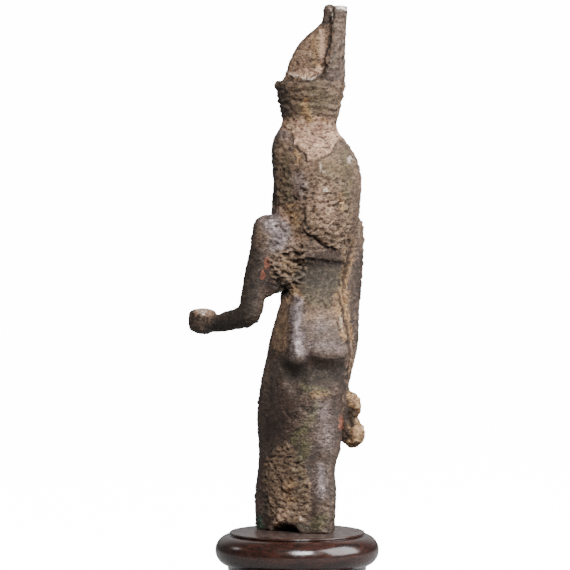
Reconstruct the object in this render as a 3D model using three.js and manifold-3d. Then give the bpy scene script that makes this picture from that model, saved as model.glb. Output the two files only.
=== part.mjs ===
// A small cast-bronze statuette of a striding goddess on a turned wooden stand.
// She wears the double crown over a heavy three-part wig and a long sheath dress. The feet are lost:
// the casting ends, broken and hollow on one side, at the hem. The left arm is bent forward with a
// closed fist, and the right arm hangs against the thigh, where corrosion has grown them together.
// Millimetres, +Z up, the figure faces -Y and her left is +X. The origin is the middle of the
// stand's underside.

import * as THREE from "three";
import Module from "manifold-3d";

const wasm = await Module();
wasm.setup();

// Driving dimensions of the figure. Heights are measured from the top of the stand.
const figureHeight = 169.6;
const waistHeight = 77;
const hipHeight = 60;
const kneeHeight = 30;
const shoulderHeight = 97.2;
const shoulderReach = 16.2;
const elbowHeight = 70.6;
const fistSize = 8.4;
const panelHeight = 87.4;
const chinHeight = 105.5;
const crownHeight = 129.5;
const rimHeight = 145.4;

// Driving dimensions of the stand.
const standHeight = 34;
const plateRadius = 21.9;
const torusRadius = 5;
const torusHeight = 27.9;
const collarRadius = 22.4;
const neckRadius = 18.6;
const footRadius = 27.5;
const standSides = 36;

const bronze = new THREE.MeshStandardMaterial({ color: 0x5a4c42, roughness: 0.5, metalness: 0.55 });
const stainedWood = new THREE.MeshStandardMaterial({ color: 0x2c1512, roughness: 0.25, metalness: 0 });

// A closed solid skinned over rings of points. The rings run along the form, each one turning
// counter-clockwise about the direction of travel, and a fan of triangles closes each end.
function skin(rings) {
  const sides = rings[0].length;
  const points = rings.flat();
  const index = [];
  for (let ring = 0; ring + 1 < rings.length; ring++) {
    for (let side = 0; side < sides; side++) {
      const next = (side + 1) % sides;
      const [a, b] = [ring * sides + side, ring * sides + next];
      index.push(a, b, b + sides, a, b + sides, a + sides);
    }
  }
  const middle = (ring) => ring.reduce((sum, p) => sum.add(p), new THREE.Vector3()).divideScalar(sides);
  const last = (rings.length - 1) * sides;
  points.push(middle(rings[0]), middle(rings[rings.length - 1]));
  for (let side = 0; side < sides; side++) {
    const next = (side + 1) % sides;
    index.push(points.length - 2, next, side, points.length - 1, last + side, last + next);
  }
  return new THREE.BufferGeometry().setFromPoints(points).setIndex(index);
}

// The geometry's own shared vertices as a solid that can be joined and cut.
function solidOf(geometry) {
  const vertProperties = new Float32Array(geometry.attributes.position.array);
  const triVerts = new Uint32Array(geometry.index.array);
  return new wasm.Manifold(new wasm.Mesh({ numProp: 3, vertProperties, triVerts }));
}

// A smooth curve through rows of numbers, whose first number says where each row applies.
function smooth(rows) {
  const places = rows.map((row) => row[0]);
  const values = rows.flatMap((row) => row.slice(1));
  const size = rows[0].length - 1;
  const curve = new THREE.CubicInterpolant(places, values, size, new Float64Array(size));
  const last = places[places.length - 1];
  return (place) => [...curve.evaluate(THREE.MathUtils.clamp(place, places[0], last))];
}

// How much of its full size a form has at a height, where its ends are rounded like a dome.
function dome(z, low, high, lowCap, highCap) {
  const below = lowCap ? Math.max(0, (low + lowCap - z) / lowCap) : 0;
  const above = highCap ? Math.max(0, (z - high + highCap) / highCap) : 0;
  return Math.sqrt(Math.max(1e-4, 1 - Math.max(below, above) ** 2));
}

// A closed outline with rounded corners: a superellipse, deeper or shallower in front than behind,
// turned about its middle.
function outline(x, y, z, side, back, front, turn, square, sides) {
  const ring = [];
  for (let i = 0; i < sides; i++) {
    const angle = (2 * Math.PI * i) / sides;
    const [c, s] = [Math.cos(angle), Math.sin(angle)];
    const reach = (Math.abs(c) ** square + Math.abs(s) ** square) ** (-1 / square);
    const point = new THREE.Vector3(side * c * reach, (s > 0 ? back : front) * s * reach, 0);
    ring.push(point.applyAxisAngle(new THREE.Vector3(0, 0, 1), THREE.MathUtils.degToRad(turn)));
    point.add(new THREE.Vector3(x, y, z));
  }
  return ring;
}

// An upright form from sections: [height, x, y, half width, depth behind, depth in front, turn in
// degrees, squareness]. Its ends are flat unless a cap gives them the height of a dome.
function upright(sections, { sides = 24, rings = 12, lowCap = 0, highCap = 0 } = {}) {
  const at = smooth(sections);
  const [low, high] = [sections[0][0], sections[sections.length - 1][0]];
  const loops = [];
  for (let i = 0; i <= rings; i++) {
    const even = i / rings;
    const crowded = (1 - Math.cos(Math.PI * even)) / 2;
    const z = THREE.MathUtils.lerp(low, high, lowCap || highCap ? crowded : even);
    const [x, y, side, back, front, turn, square] = at(z);
    const size = dome(z, low, high, lowCap, highCap);
    loops.push(outline(x, y, z, side * size, back * size, front * size, turn, square, sides));
  }
  return solidOf(skin(loops));
}

// A limb along a smooth path through joints: [x, y, z, radius], with rounded ends.
function limb(joints, { sides = 14, rings = 14, roundEnds = 0.12 } = {}) {
  const path = new THREE.CatmullRomCurve3(joints.map(([x, y, z]) => new THREE.Vector3(x, y, z)));
  const across = new THREE.Vector3(1, 0, 0);
  const radius = smooth(joints.map((joint, i) => [i / (joints.length - 1), joint[3]]));
  const loops = [];
  for (let i = 0; i <= rings; i++) {
    const even = i / rings;
    const along = (even + (1 - Math.cos(Math.PI * even)) / 2) / 2;
    const middle = path.getPointAt(along);
    const r = radius(path.getUtoTmapping(along))[0] * dome(along, 0, 1, roundEnds, roundEnds);
    const ahead = path.getTangentAt(along);
    const second = ahead.clone().cross(across).normalize();
    const first = second.clone().cross(ahead);
    const loop = [];
    for (let j = 0; j < sides; j++) {
      const angle = (2 * Math.PI * j) / sides;
      const point = middle.clone().addScaledVector(first, r * Math.cos(angle));
      loop.push(point.addScaledVector(second, r * Math.sin(angle)));
    }
    loops.push(loop);
  }
  return solidOf(skin(loops));
}

// A rounded lump, given its middle, its three half sizes and its turn in degrees.
function lump(x, y, z, side, depth, height, { turn = 0, square = 2, sides = 16, rings = 8 } = {}) {
  const section = (at) => [at, x, y, side, depth, depth, turn, square];
  return upright([section(z - height), section(z), section(z + height)], {
    sides,
    rings,
    lowCap: height,
    highCap: height,
  });
}

// The sheath dress and the body in it, from the hem to the base of the neck.
function dressedBody() {
  return upright(
    [
      [0, -0.4, -1.2, 7.4, 11.4, 12, 13, 2.2],
      [10, -0.4, -1.2, 7.6, 11.8, 12.2, 13, 2.2],
      [20, -0.4, -0.6, 8.4, 11.4, 11.6, 12, 2.2],
      [kneeHeight, -0.6, 0.8, 9.6, 11.2, 11.4, 8, 2.2],
      [42, -0.6, 3.4, 11.6, 10.8, 11.8, 0, 2.3],
      [49.6, -0.3, 4.8, 12.5, 9.7, 12.2, -8, 2.4],
      [52.6, -0.2, 5.1, 12.7, 10, 12, -10, 2.4],
      [55.4, -0.2, 5.5, 12.7, 12, 11.8, -12, 2.4],
      [58.6, -0.2, 5.9, 12.6, 12.6, 11.4, -12, 2.5],
      [hipHeight + 2, -0.3, 6.1, 12.2, 12.2, 11, -12, 2.5],
      [67, -0.5, 6.5, 11.3, 10.9, 10.6, -9, 2.5],
      [72, -0.6, 6.8, 10.4, 9.3, 9.8, -4, 2.4],
      [waistHeight, -0.6, 7.2, 9.5, 7.7, 8.8, 0, 2.4],
      [86, -0.2, 6.8, 10.8, 7.2, 8.4, 0, 2.4],
      [93, 0, 6.2, 13.6, 6.8, 8.4, 0, 2.5],
      [97.6, 0, 5.6, 15.4, 6.2, 7, 0, 2.4],
      [101, 0, 5.4, 13.6, 5.2, 5.6, 0, 2.2],
      [103.6, 0, 5.2, 8, 4.6, 4.8, 0, 2],
    ],
    { sides: 26, rings: 27 },
  );
}

// The trailing right leg and the advanced left leg, which the dress clings to.
function legs() {
  const right = [
    [0, -2.8, 8, 4.8, 4.8, 4.8, 0, 2],
    [13, -2.9, 8.2, 5.2, 5.2, 5.2, 0, 2],
    [21, -3, 7.9, 5, 5, 5, 0, 2],
    [27, -3.8, 8.2, 5.8, 5.8, 5.8, 0, 2],
    [35, -4.4, 7.9, 6.2, 6.2, 6.2, 0, 2],
    [46, -4.8, 7.4, 6.2, 6.2, 6.2, 0, 2],
    [54, -4.6, 6.8, 5.6, 5.6, 5.6, 0, 2],
  ];
  const left = [
    [0, 2.6, -10.2, 4.8, 4.8, 4.8, 0, 2],
    [10, 2.6, -10.2, 5.2, 5.2, 5.2, 0, 2],
    [23, 2.8, -8.8, 4.7, 4.7, 4.7, 0, 2],
    [38, 4.4, -5.2, 6.2, 6.2, 6.2, 0, 2],
    [48, 5.2, -2.2, 6.4, 6.4, 6.4, 0, 2],
    [54, 5.4, -0.4, 6.2, 6.2, 6.2, 0, 2],
    [62, 5.2, 2.4, 5.8, 5.8, 5.8, 0, 2],
    [70, 4.6, 4.8, 5, 5, 5, 0, 2],
  ];
  return upright(right, { sides: 14, rings: 9 }).add(upright(left, { sides: 14, rings: 11 }));
}

// The breasts under the dress.
function breasts() {
  const breast = (side) => lump(side * 5.4, 0.8, 88.8, 4.8, 4.6, 4.6, { sides: 12, rings: 5 });
  return breast(1).add(breast(-1));
}

// The heavy wig: the dome, the sides and the panel that hangs down the back, opened for the face.
function wig() {
  const mass = upright(
    [
      [panelHeight, 0, 8.4, 10.6, 6.2, 2, 0, 3.2],
      [91, 0, 8.4, 11.2, 8, 2, 0, 3.2],
      [96, 0, 8.6, 12, 10.6, 3, 0, 3],
      [101, 0, 8.8, 12.8, 12.6, 7, 0, 2.9],
      [107, 0, 9.2, 13.1, 13.4, 10, 0, 2.6],
      [111, 0, 9.5, 13.4, 13.8, 11.6, 0, 2.5],
      [117, 0, 9, 13.5, 13.6, 12.2, 0, 2.4],
      [122.6, 0, 7.3, 13, 12.8, 12, 0, 2.2],
      [126.4, 0, 5.8, 11.6, 11.2, 11.2, 0, 2],
      [129.4, 0, 5.2, 9.4, 9.6, 9.4, 0, 2],
      [crownHeight + 3, 0, 6, 8, 9, 8.8, 0, 2],
    ],
    { sides: 26, rings: 18 },
  );
  const opening = upright(
    [
      [92, 0, -8, 5, 9, 9, 0, 3],
      [108, 0, -8, 6, 9, 9, 0, 3],
      [118, 0, -8, 6.8, 8.4, 9, 0, 3],
      [123.6, 0, -8, 6.2, 7.6, 9, 0, 3],
    ],
    { sides: 16, rings: 5, highCap: 3 },
  );
  return mass.subtract(opening);
}

// One of the two lappets of the wig that fall over the shoulders on to the chest.
function lappet(side) {
  return upright(
    [
      [91, side * 7, 0, 3.3, 3, 2.8, 0, 3],
      [98, side * 7.1, 0.2, 3.3, 4, 2.8, 0, 3],
      [106, side * 7.1, 1, 3.2, 4, 3, 0, 2.8],
      [116, side * 7.2, 2.2, 3, 4, 3, 0, 2.6],
    ],
    { sides: 12, rings: 5 },
  );
}

// A plain face and the neck under it, with the worn vulture's head on the brow.
function face() {
  const neck = limb([[0, 5, 98, 5], [0, 3.5, 104, 4.6], [0, 2.5, 110, 4.6]], { sides: 12, rings: 5 });
  const head = upright(
    [
      [chinHeight - 0.5, 0, -2.2, 2.8, 3, 2.6, 0, 2],
      [108, 0, -1.8, 5, 4, 4.2, 0, 2.1],
      [113, 0, -1.2, 6.5, 4, 4.9, 0, 2.2],
      [118, 0, -0.9, 6.9, 4, 4.8, 0, 2.2],
      [124, 0, -0.1, 6.6, 4, 4.2, 0, 2.2],
    ],
    { sides: 14, rings: 8, lowCap: 2 },
  );
  const nose = limb([[0, -5, 117.6, 0.8], [0, -6.3, 114, 1], [0, -6.1, 112.4, 1.3]], {
    sides: 8,
    rings: 6,
    roundEnds: 0.2,
  });
  const brow = limb([[0, -4.4, 128.4, 1.5], [0, -5.6, 125.4, 1.6], [0, -6.6, 122.8, 1]], {
    sides: 10,
    rings: 6,
    roundEnds: 0.2,
  });
  return neck.add(head).add(nose).add(brow);
}

// The bent left arm with its fist, and the crust that fills the armpit behind it.
function leftArm() {
  const upper = limb([
    [shoulderReach - 1, 5.4, shoulderHeight + 5.3, 4.4],
    [shoulderReach, 5.2, shoulderHeight + 0.6, 5.2],
    [17, 4, 91.5, 4.6],
    [17.9, 1.6, 84, 4.1],
    [18.4, 0.2, 77.6, 3.9],
    [18.6, -1.6, elbowHeight + 0.4, 3.8],
    [18.4, -6.8, 69.3, 3.4],
    [18, -12.6, 68.2, 3.3],
    [17.6, -18.2, 67.1, 2.95],
    [17.4, -22, 67.1, 3],
    [17, -26.4, 67.2, 2.6],
  ], { sides: 12, rings: 24, roundEnds: 0.06 });
  const fist = lump(17, -27.5, 67.2, 3.6, fistSize / 2, fistSize / 2, { square: 2.5, sides: 14, rings: 6 });
  const armpit = upright(
    [
      [77, 12.4, 4.6, 2.6, 2.4, 2.4, 0, 2],
      [80, 12.6, 4.6, 4.4, 3.4, 3, 0, 2],
      [86, 12.8, 5, 5.4, 4.6, 3.8, 0, 2],
      [96, 12.6, 5.4, 5.4, 5.2, 4.2, 0, 2],
    ],
    { sides: 14, rings: 6 },
  );
  return upper.add(fist).add(armpit);
}

// The hanging right arm, the crust that joins it to the hip, and its encrusted hand.
function rightArm() {
  const arm = limb([
    [1 - shoulderReach, 5.4, shoulderHeight + 5.3, 4.4],
    [-shoulderReach - 0.7, 5.2, shoulderHeight, 5.2],
    [-17.9, 5, 88, 4.6],
    [-17.5, 5.2, 78, 4.1],
    [-17, 5.4, 69, 3.7],
    [-16.4, 6, 60.6, 3.5],
    [-14.9, 6.2, 51.8, 2.6],
    [-13.8, 6.2, 45.4, 2.3],
    [-15, 7.4, 38, 2.9],
    [-16.2, 8.2, 31, 3],
  ], { sides: 12, rings: 20, roundEnds: 0.06 });
  const fist = lump(-16.4, 8.4, 31.2, 3.9, 4.3, 4.5, { square: 2.4, sides: 12, rings: 6 });
  const crust = lump(-15.8, 8.8, 40.2, 3, 3, 4.8, { sides: 12, rings: 6 });
  const seam = upright(
    [
      [36, -12.6, 6.4, 3, 2.2, 2.2, 0, 2],
      [50, -12.6, 6.4, 3, 2.4, 2.4, 0, 2],
      [66, -12.8, 7.2, 3.2, 2.6, 2.6, 0, 2],
      [80, -13, 7.2, 4, 3, 3, 0, 2],
      [94, -12.6, 6, 5, 4, 4, 0, 2],
    ],
    { sides: 10, rings: 6, lowCap: 3, highCap: 3 },
  );
  return arm.add(fist).add(crust).add(seam);
}

// The double crown: the flaring base of the red crown with its tall back, and the white crown that
// stands in it, leaning against that back.
function crown() {
  const base = upright(
    [
      [crownHeight - 3, 0, 6.2, 8.2, 9.4, 9.4, 0, 2],
      [crownHeight + 2.3, 0, 6.3, 8, 9.3, 9.3, 0, 2],
      [135, 0, 6.4, 8.6, 10.3, 10.2, 0, 2],
      [138.4, 0, 6.4, 9.1, 11.1, 11, 0, 2],
      [141.8, 0, 6.4, 9.9, 12.2, 12.1, 0, 2],
      [rimHeight - 1.4, 0, 6.4, 10.3, 12.9, 12.8, 0, 2],
      [rimHeight, 0, 6.6, 10.1, 12.4, 12.5, 0, 2],
    ],
    { sides: 26, rings: 8 },
  );
  const ledge = upright(
    [
      [rimHeight - 0.9, 0, 7, 8.9, 10.4, 11.4, 0, 2],
      [rimHeight + 2, 0, 7, 9.3, 10.4, 11.8, 0, 2],
    ],
    { sides: 20, rings: 1 },
  );
  const tallBack = upright(
    [
      [rimHeight - 9, 0, 14.6, 4, 1.6, 1.6, 0, 4],
      [rimHeight - 4, 0, 16.4, 4.4, 1.6, 1.6, 0, 4],
      [rimHeight + 1, -0.2, 18, 4.2, 1.6, 1.6, 0, 4],
      [152, -0.3, 18.4, 3.5, 1.5, 1.5, 0, 4],
      [160, -0.4, 18.9, 3.2, 1.5, 1.4, 0, 4],
      [figureHeight - 0.6, -0.7, 19.3, 2.9, 1.4, 1.3, 0, 4],
    ],
    { sides: 16, rings: 7 },
  );
  const whiteCrown = upright(
    [
      [rimHeight - 4, 0, 8.4, 8, 8, 8.2, 0, 2],
      [rimHeight - 0.8, 0, 8.2, 9, 9, 11, 0, 2],
      [148.4, 0, 8.6, 8.4, 8.6, 9.7, 0, 2],
      [151.6, 0, 9.2, 7.9, 8.4, 9, 0, 2],
      [154.9, 0, 10.2, 7, 7.4, 8, 0, 2],
      [158.1, 0, 11.6, 5.6, 6, 6.6, 0, 2],
      [161, 0, 13.6, 3.8, 3.6, 4.4, 0, 2],
      [163.6, 0, 15, 2.4, 2.2, 2.6, 0, 2],
      [166, 0, 15.8, 2, 2, 2.2, 0, 2],
      [figureHeight, -0.1, 16.2, 1.9, 1.9, 1.9, 0, 2],
    ],
    { sides: 18, rings: 15, highCap: 1.4 },
  );
  return base.subtract(ledge).add(tallBack).add(whiteCrown);
}

// The break at the hem: a shallow hollow under the dress, open on the left between the two legs.
function brokenHem() {
  return lump(6, 3.6, 0, 6, 8.6, 3.4, { turn: 50, sides: 16, rings: 8 });
}

function statuette() {
  const cast = [legs(), breasts(), wig(), lappet(1), lappet(-1), face(), leftArm(), rightArm(), crown()];
  const joined = cast.reduce((whole, form) => whole.add(form), dressedBody()).subtract(brokenHem());
  const mesh = joined.getMesh();
  const geometry = new THREE.BufferGeometry();
  geometry.setAttribute("position", new THREE.BufferAttribute(new Float32Array(mesh.vertProperties), 3));
  geometry.setIndex(new THREE.BufferAttribute(mesh.triVerts, 1));
  geometry.computeVertexNormals();
  const solid = new THREE.Mesh(geometry, bronze);
  solid.name = "statuette";
  solid.position.z = standHeight;
  return solid;
}

// The turned stand: a plate, a bold torus, a hollow neck and a round foot.
function stand() {
  const arc = (r, z, radius, from, to, steps) => {
    const points = [];
    for (let i = 0; i <= steps; i++) {
      const angle = THREE.MathUtils.degToRad(THREE.MathUtils.lerp(from, to, i / steps));
      points.push(new THREE.Vector2(r + radius * Math.cos(angle), z + radius * Math.sin(angle)));
    }
    return points;
  };
  const neck = new THREE.SplineCurve([
    new THREE.Vector2(collarRadius, torusHeight - torusRadius - 1.4),
    new THREE.Vector2(neckRadius + 0.6, 17.6),
    new THREE.Vector2(neckRadius, 14.4),
    new THREE.Vector2(neckRadius + 1.6, 11.4),
    new THREE.Vector2(24.6, 9.4),
  ]);
  const profile = [
    new THREE.Vector2(0, 0),
    ...arc(footRadius - 1, 1, 1, -90, 0, 1),
    ...arc(footRadius - 3.6, 4.6, 3.6, 0, 80, 4),
    new THREE.Vector2(24.6, 8.4),
    ...neck.getPoints(6).reverse(),
    new THREE.Vector2(collarRadius, torusHeight - torusRadius + 0.1),
    ...arc(plateRadius - 0.4, torusHeight, torusRadius, -78, 82, 10),
    new THREE.Vector2(plateRadius - 0.5, standHeight - 1.1),
    new THREE.Vector2(plateRadius, standHeight - 0.8),
    new THREE.Vector2(plateRadius - 0.15, standHeight - 0.2),
    new THREE.Vector2(plateRadius - 0.5, standHeight),
    new THREE.Vector2(0, standHeight),
  ];
  const turned = new THREE.Mesh(new THREE.LatheGeometry(profile, standSides), stainedWood);
  turned.geometry.rotateX(Math.PI / 2);
  turned.name = "stand";
  return turned;
}

const part = new THREE.Group();
part.add(stand(), statuette());

export default part;
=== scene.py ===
# %% [markdown]
# # A corroded bronze figure on a turned stand
#
# The object is a small Egyptian goddess, cast in solid bronze and buried for a very long time. What
# the ground did to her is most of what the eye sees: crusts that lie on the metal in plates, cracks
# between them, pits, earth in the hollows, and a few bare ridges that hands have polished.
#
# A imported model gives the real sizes. This lesson loads it, builds the figure again with a fine
# surface, models the crusts and cracks in the mesh itself, and gives everything its finish.

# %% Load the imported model
import math

import bpy
import numpy as np
from mathutils import Matrix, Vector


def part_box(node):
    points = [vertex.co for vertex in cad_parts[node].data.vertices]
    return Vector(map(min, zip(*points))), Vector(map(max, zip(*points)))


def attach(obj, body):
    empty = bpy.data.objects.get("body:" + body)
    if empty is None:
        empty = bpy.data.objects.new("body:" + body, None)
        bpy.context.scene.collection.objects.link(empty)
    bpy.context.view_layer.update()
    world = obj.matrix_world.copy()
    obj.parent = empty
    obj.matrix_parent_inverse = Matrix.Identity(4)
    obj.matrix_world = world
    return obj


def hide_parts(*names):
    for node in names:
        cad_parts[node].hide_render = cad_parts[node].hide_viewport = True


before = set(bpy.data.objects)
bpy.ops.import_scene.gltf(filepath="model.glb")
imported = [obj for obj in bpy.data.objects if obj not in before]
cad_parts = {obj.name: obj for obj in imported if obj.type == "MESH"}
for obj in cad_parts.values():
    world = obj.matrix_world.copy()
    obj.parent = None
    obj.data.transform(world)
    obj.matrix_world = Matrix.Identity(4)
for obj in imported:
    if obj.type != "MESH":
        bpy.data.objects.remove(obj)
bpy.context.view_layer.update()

MM = 0.001
STAND_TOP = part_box("stand")[1].z / MM
FIGURE_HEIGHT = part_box("statuette")[1].z / MM - STAND_TOP
print(f"the stand is {STAND_TOP:.1f} mm high and the figure {FIGURE_HEIGHT:.1f} mm")

# %% [markdown]
# ## The camera
#
# The picture was taken from behind her left shoulder, a little above the level of her hips, with a
# long lens from about a metre away. A long lens is worth copying: with a short one the stand would
# look far too wide for the figure. The camera is placed by its direction and its distance from a
# point on the figure, and the lens follows from how large a millimetre there shows.

# %% The camera
VIEW_AZIMUTH = math.radians(140)
VIEW_ELEVATION = math.radians(2.5)
VIEW_DISTANCE = 1090.0
VIEW_HEIGHT = STAND_TOP + 79.6
VIEW_ASIDE = -3.9
PICTURE_SIDE = 570
PIXELS_PER_MM = 3.1
SENSOR = 36.0

TOWARD_EYE = np.array([
    math.sin(VIEW_AZIMUTH) * math.cos(VIEW_ELEVATION),
    -math.cos(VIEW_AZIMUTH) * math.cos(VIEW_ELEVATION),
    math.sin(VIEW_ELEVATION),
])
TO_THE_RIGHT = np.array([math.cos(VIEW_AZIMUTH), math.sin(VIEW_AZIMUTH), 0.0])
UPWARD = np.cross(TOWARD_EYE, TO_THE_RIGHT)
LEVEL_TOWARD_EYE = np.array([TOWARD_EYE[0], TOWARD_EYE[1], 0])
AIM = np.array([0.0, 0.0, VIEW_HEIGHT]) + TO_THE_RIGHT * VIEW_ASIDE
EYE = AIM + TOWARD_EYE * VIEW_DISTANCE


def facing(right, up, back, place):
    """The matrix of a camera or lamp at a place in millimetres, from its three directions."""
    columns = np.column_stack([right, up, back, np.array(place) * MM])
    return Matrix(np.vstack([columns, [0, 0, 0, 1]]).tolist())


camera_data = bpy.data.cameras.new("camera")
camera_data.sensor_width = SENSOR
camera_data.lens = PIXELS_PER_MM * VIEW_DISTANCE * SENSOR / PICTURE_SIDE
camera = bpy.data.objects.new("camera", camera_data)
bpy.context.scene.collection.objects.link(camera)
camera.matrix_world = facing(TO_THE_RIGHT, UPWARD, TOWARD_EYE, EYE)
bpy.context.scene.camera = camera
print(f"the lens is {camera_data.lens:.0f} mm")

# %% [markdown]
# ## Curves and rings
#
# Every form here is a stack of rings. A few rows of numbers say how wide, how deep and how square
# the form is at certain heights, and a smooth curve through the rows fills in the rest. The curve
# is a chain of cubics: at each row its slope is the mean of the straight slopes on the two sides,
# so it passes through every row and never swings far beyond them.

# %% A smooth curve through rows of numbers
def smooth(rows, places):
    """Values of a smooth curve at the given places. Each row is a place and the values there.

    Between two rows a step h apart, with t from 0 to 1, the value is
    (1 - t)^2 (1 + 2t) times the first value, plus t^2 (3 - 2t) times the second, plus
    h t (1 - t)^2 times the first slope, minus h t^2 (1 - t) times the second.
    """
    rows = np.asarray(rows, float)
    place, value = rows[:, 0], rows[:, 1:]
    step = np.diff(place)
    straight = np.diff(value, axis=0) / step[:, None]
    slope = np.vstack([straight[:1], (straight[1:] + straight[:-1]) / 2, straight[-1:]])
    at = np.clip(places, place[0], place[-1])
    row = np.clip(np.searchsorted(place, at, side="right") - 1, 0, len(step) - 1)
    h = step[row][:, None]
    t = (at - place[row])[:, None] / h
    low = value[row] * (1 - t) ** 2 * (1 + 2 * t) + slope[row] * h * t * (1 - t) ** 2
    high = value[row + 1] * t**2 * (3 - 2 * t) - slope[row + 1] * h * t**2 * (1 - t)
    return low + high


def rise(value, start, end):
    """0 before start, 1 after end, and the S-shaped curve t^2 (3 - 2t) in between."""
    t = np.clip((value - start) / (end - start), 0, 1)
    return t * t * (3 - 2 * t)


def band(value, start, full, fade, end):
    """0 before start, 1 from full to fade and 0 again after end, with S-shaped sides."""
    return rise(value, start, full) * (1 - rise(value, fade, end))


print(f"a band that starts at 0 and is full at 4 has the value {band(1, 0, 4, 6, 8):.2f} at 1")


# %% [markdown]
# A ring is a superellipse, the curve |x / a|^p + |y / b|^p = 1. With p = 2 it is an ellipse, and as
# p grows its corners fill out, which suits a wig or a block of the crown. The body isn't as deep in
# front as it is behind, so a ring has two depths, and it can be turned, because she strides and her
# hips and shoulders don't face the same way. A row leaves out what is usual at its end: a front as
# deep as the back, a back as deep as the form is wide, no turn, and p = 2.

# %% Upright forms
def full_row(height, x, y, side, back=None, front=None, turn=0, square=2):
    back = side if back is None else back
    front = back if front is None else front
    return [height, x, y, side, back, front, turn, square]


def dome(height, low, high, low_cap, high_cap):
    """The share of its full size that a form has where its ends are rounded like a dome."""
    none = np.zeros_like(height)
    below = np.clip((low + low_cap - height) / low_cap, 0, 1) if low_cap else none
    above = np.clip((height - high + high_cap) / high_cap, 0, 1) if high_cap else none
    return np.sqrt(np.maximum(1e-4, 1 - np.maximum(below, above) ** 2))


def upright(sections, sides=96, spacing=0.6, low_cap=0, high_cap=0):
    """A grid of points, one ring for each height. A row of sections is a height, the middle's x and
    y, half the width, the depth behind and in front, a turn in degrees and the squareness p.
    At the angle a round a ring, x is width cos(a) r and y is depth sin(a) r, where r is
    (|cos a|^p + |sin a|^p)^(-1/p)."""
    rows = [full_row(*row) for row in sections]
    low, high = rows[0][0], rows[-1][0]
    even = np.linspace(0, 1, max(8, round((high - low) / spacing)) + 1)
    share = (1 - np.cos(np.pi * even)) / 2 if low_cap or high_cap else even
    height = low + (high - low) * share
    x, y, side, back, front, turn, square = smooth(rows, height).T[:, :, None]
    size = dome(height, low, high, low_cap, high_cap)[:, None]
    angle = np.linspace(0, 2 * np.pi, sides, endpoint=False)[None, :]
    c, s = np.cos(angle), np.sin(angle)
    reach = size * (np.abs(c) ** square + np.abs(s) ** square) ** (-1 / square)
    across = side * c * reach
    along = np.where(s > 0, back, front) * s * reach
    turn = np.radians(turn)
    return np.stack([
        x + across * np.cos(turn) - along * np.sin(turn),
        y + across * np.sin(turn) + along * np.cos(turn),
        np.broadcast_to(height[:, None], across.shape),
    ], axis=-1)


def lump(x, y, z, side, depth, height, turn=0, square=2):
    """A rounded lump, given its middle, its three half sizes and its turn in degrees."""
    row = [x, y, side, depth, depth, turn, square]
    sections = [[z - height, *row], [z, *row], [z + height, *row]]
    return upright(sections, sides=56, low_cap=height, high_cap=height)


print(f"a lump of 2 mm is a grid of {len(lump(0, 0, 0, 2, 2, 2))} rings")

# %% [markdown]
# An arm bends, so its rings don't lie level. They stand square to a path through its joints.

# %% Limbs
def limb(joints, sides=56, spacing=0.6, round_ends=0.06):
    """A grid of rings across a smooth path through joints, each x, y, z and radius. The path's
    parameter grows with the square root of the distance between joints, which keeps it from
    looping. A ring at the angle a is the middle plus the radius times (first cos a + second sin a),
    where second is square to the path and to x, and first is square to both."""
    joints = np.asarray(joints, float)
    gaps = np.linalg.norm(np.diff(joints[:, :3], axis=0), axis=1)
    place = np.concatenate([[0], np.cumsum(np.sqrt(gaps))])
    rows = np.column_stack([place, joints])
    dense = np.linspace(0, place[-1], 400)
    walked = np.linalg.norm(np.diff(smooth(rows, dense)[:, :3], axis=0), axis=1)
    length = np.concatenate([[0], np.cumsum(walked)])
    even = np.linspace(0, 1, round(length[-1] / spacing) + 1)
    along = (even + (1 - np.cos(np.pi * even)) / 2) / 2
    path = smooth(rows, np.interp(along * length[-1], length, dense))
    ahead = np.gradient(path[:, :3], axis=0)
    ahead /= np.linalg.norm(ahead, axis=1, keepdims=True)
    second = np.cross(ahead, [1.0, 0.0, 0.0])
    second /= np.linalg.norm(second, axis=1, keepdims=True)
    first = np.cross(second, ahead)
    radius = path[:, 3] * dome(along, 0, 1, round_ends, round_ends)
    angle = np.linspace(0, 2 * np.pi, sides, endpoint=False)
    c, s = np.cos(angle)[None, :, None], np.sin(angle)[None, :, None]
    return path[:, None, :3] + radius[:, None, None] * (first[:, None] * c + second[:, None] * s)


print(f"a straight limb of 12 mm has {len(limb([[0, 0, 0, 2], [0, 0, 6, 2], [0, 0, 12, 2]]))} rings")

# %% [markdown]
# A grid of points becomes a closed mesh with a quad between every four neighbours and a fan of
# triangles over each end. Everything so far is in millimetres above the stand's top, which is how
# a person would measure the figure. It becomes metres above the floor as it enters the mesh.

# %% From grids to meshes
def closed(grid):
    """Points and faces of a closed skin over a grid whose last column joins its first."""
    rings, sides = grid.shape[:2]
    number = np.arange(rings * sides).reshape(rings, sides)
    here, beside = number, np.roll(number, -1, axis=1)
    quads = np.stack([here[:-1], beside[:-1], beside[1:], here[1:]], -1).reshape(-1, 4)
    low, high = rings * sides, rings * sides + 1
    floor = np.stack([np.full(sides, low), beside[0], here[0]], -1)
    roof = np.stack([np.full(sides, high), here[-1], beside[-1]], -1)
    points = np.vstack([grid.reshape(-1, 3), grid[0].mean(0), grid[-1].mean(0)])
    return points, quads.tolist() + floor.tolist() + roof.tolist()


def solid(name, *grids, lift=STAND_TOP):
    """One object made of closed skins over the grids, which may pass through each other."""
    points, faces, count = [], [], 0
    for grid in grids:
        skin_points, skin_faces = closed(grid)
        points.append(skin_points)
        faces += [[corner + count for corner in face] for face in skin_faces]
        count += len(skin_points)
    metres = (np.vstack(points) + [0, 0, lift]) * MM
    mesh = bpy.data.meshes.new(name)
    mesh.from_pydata(metres.tolist(), [], faces)
    made = bpy.data.objects.new(name, mesh)
    bpy.context.scene.collection.objects.link(made)
    return made


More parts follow.
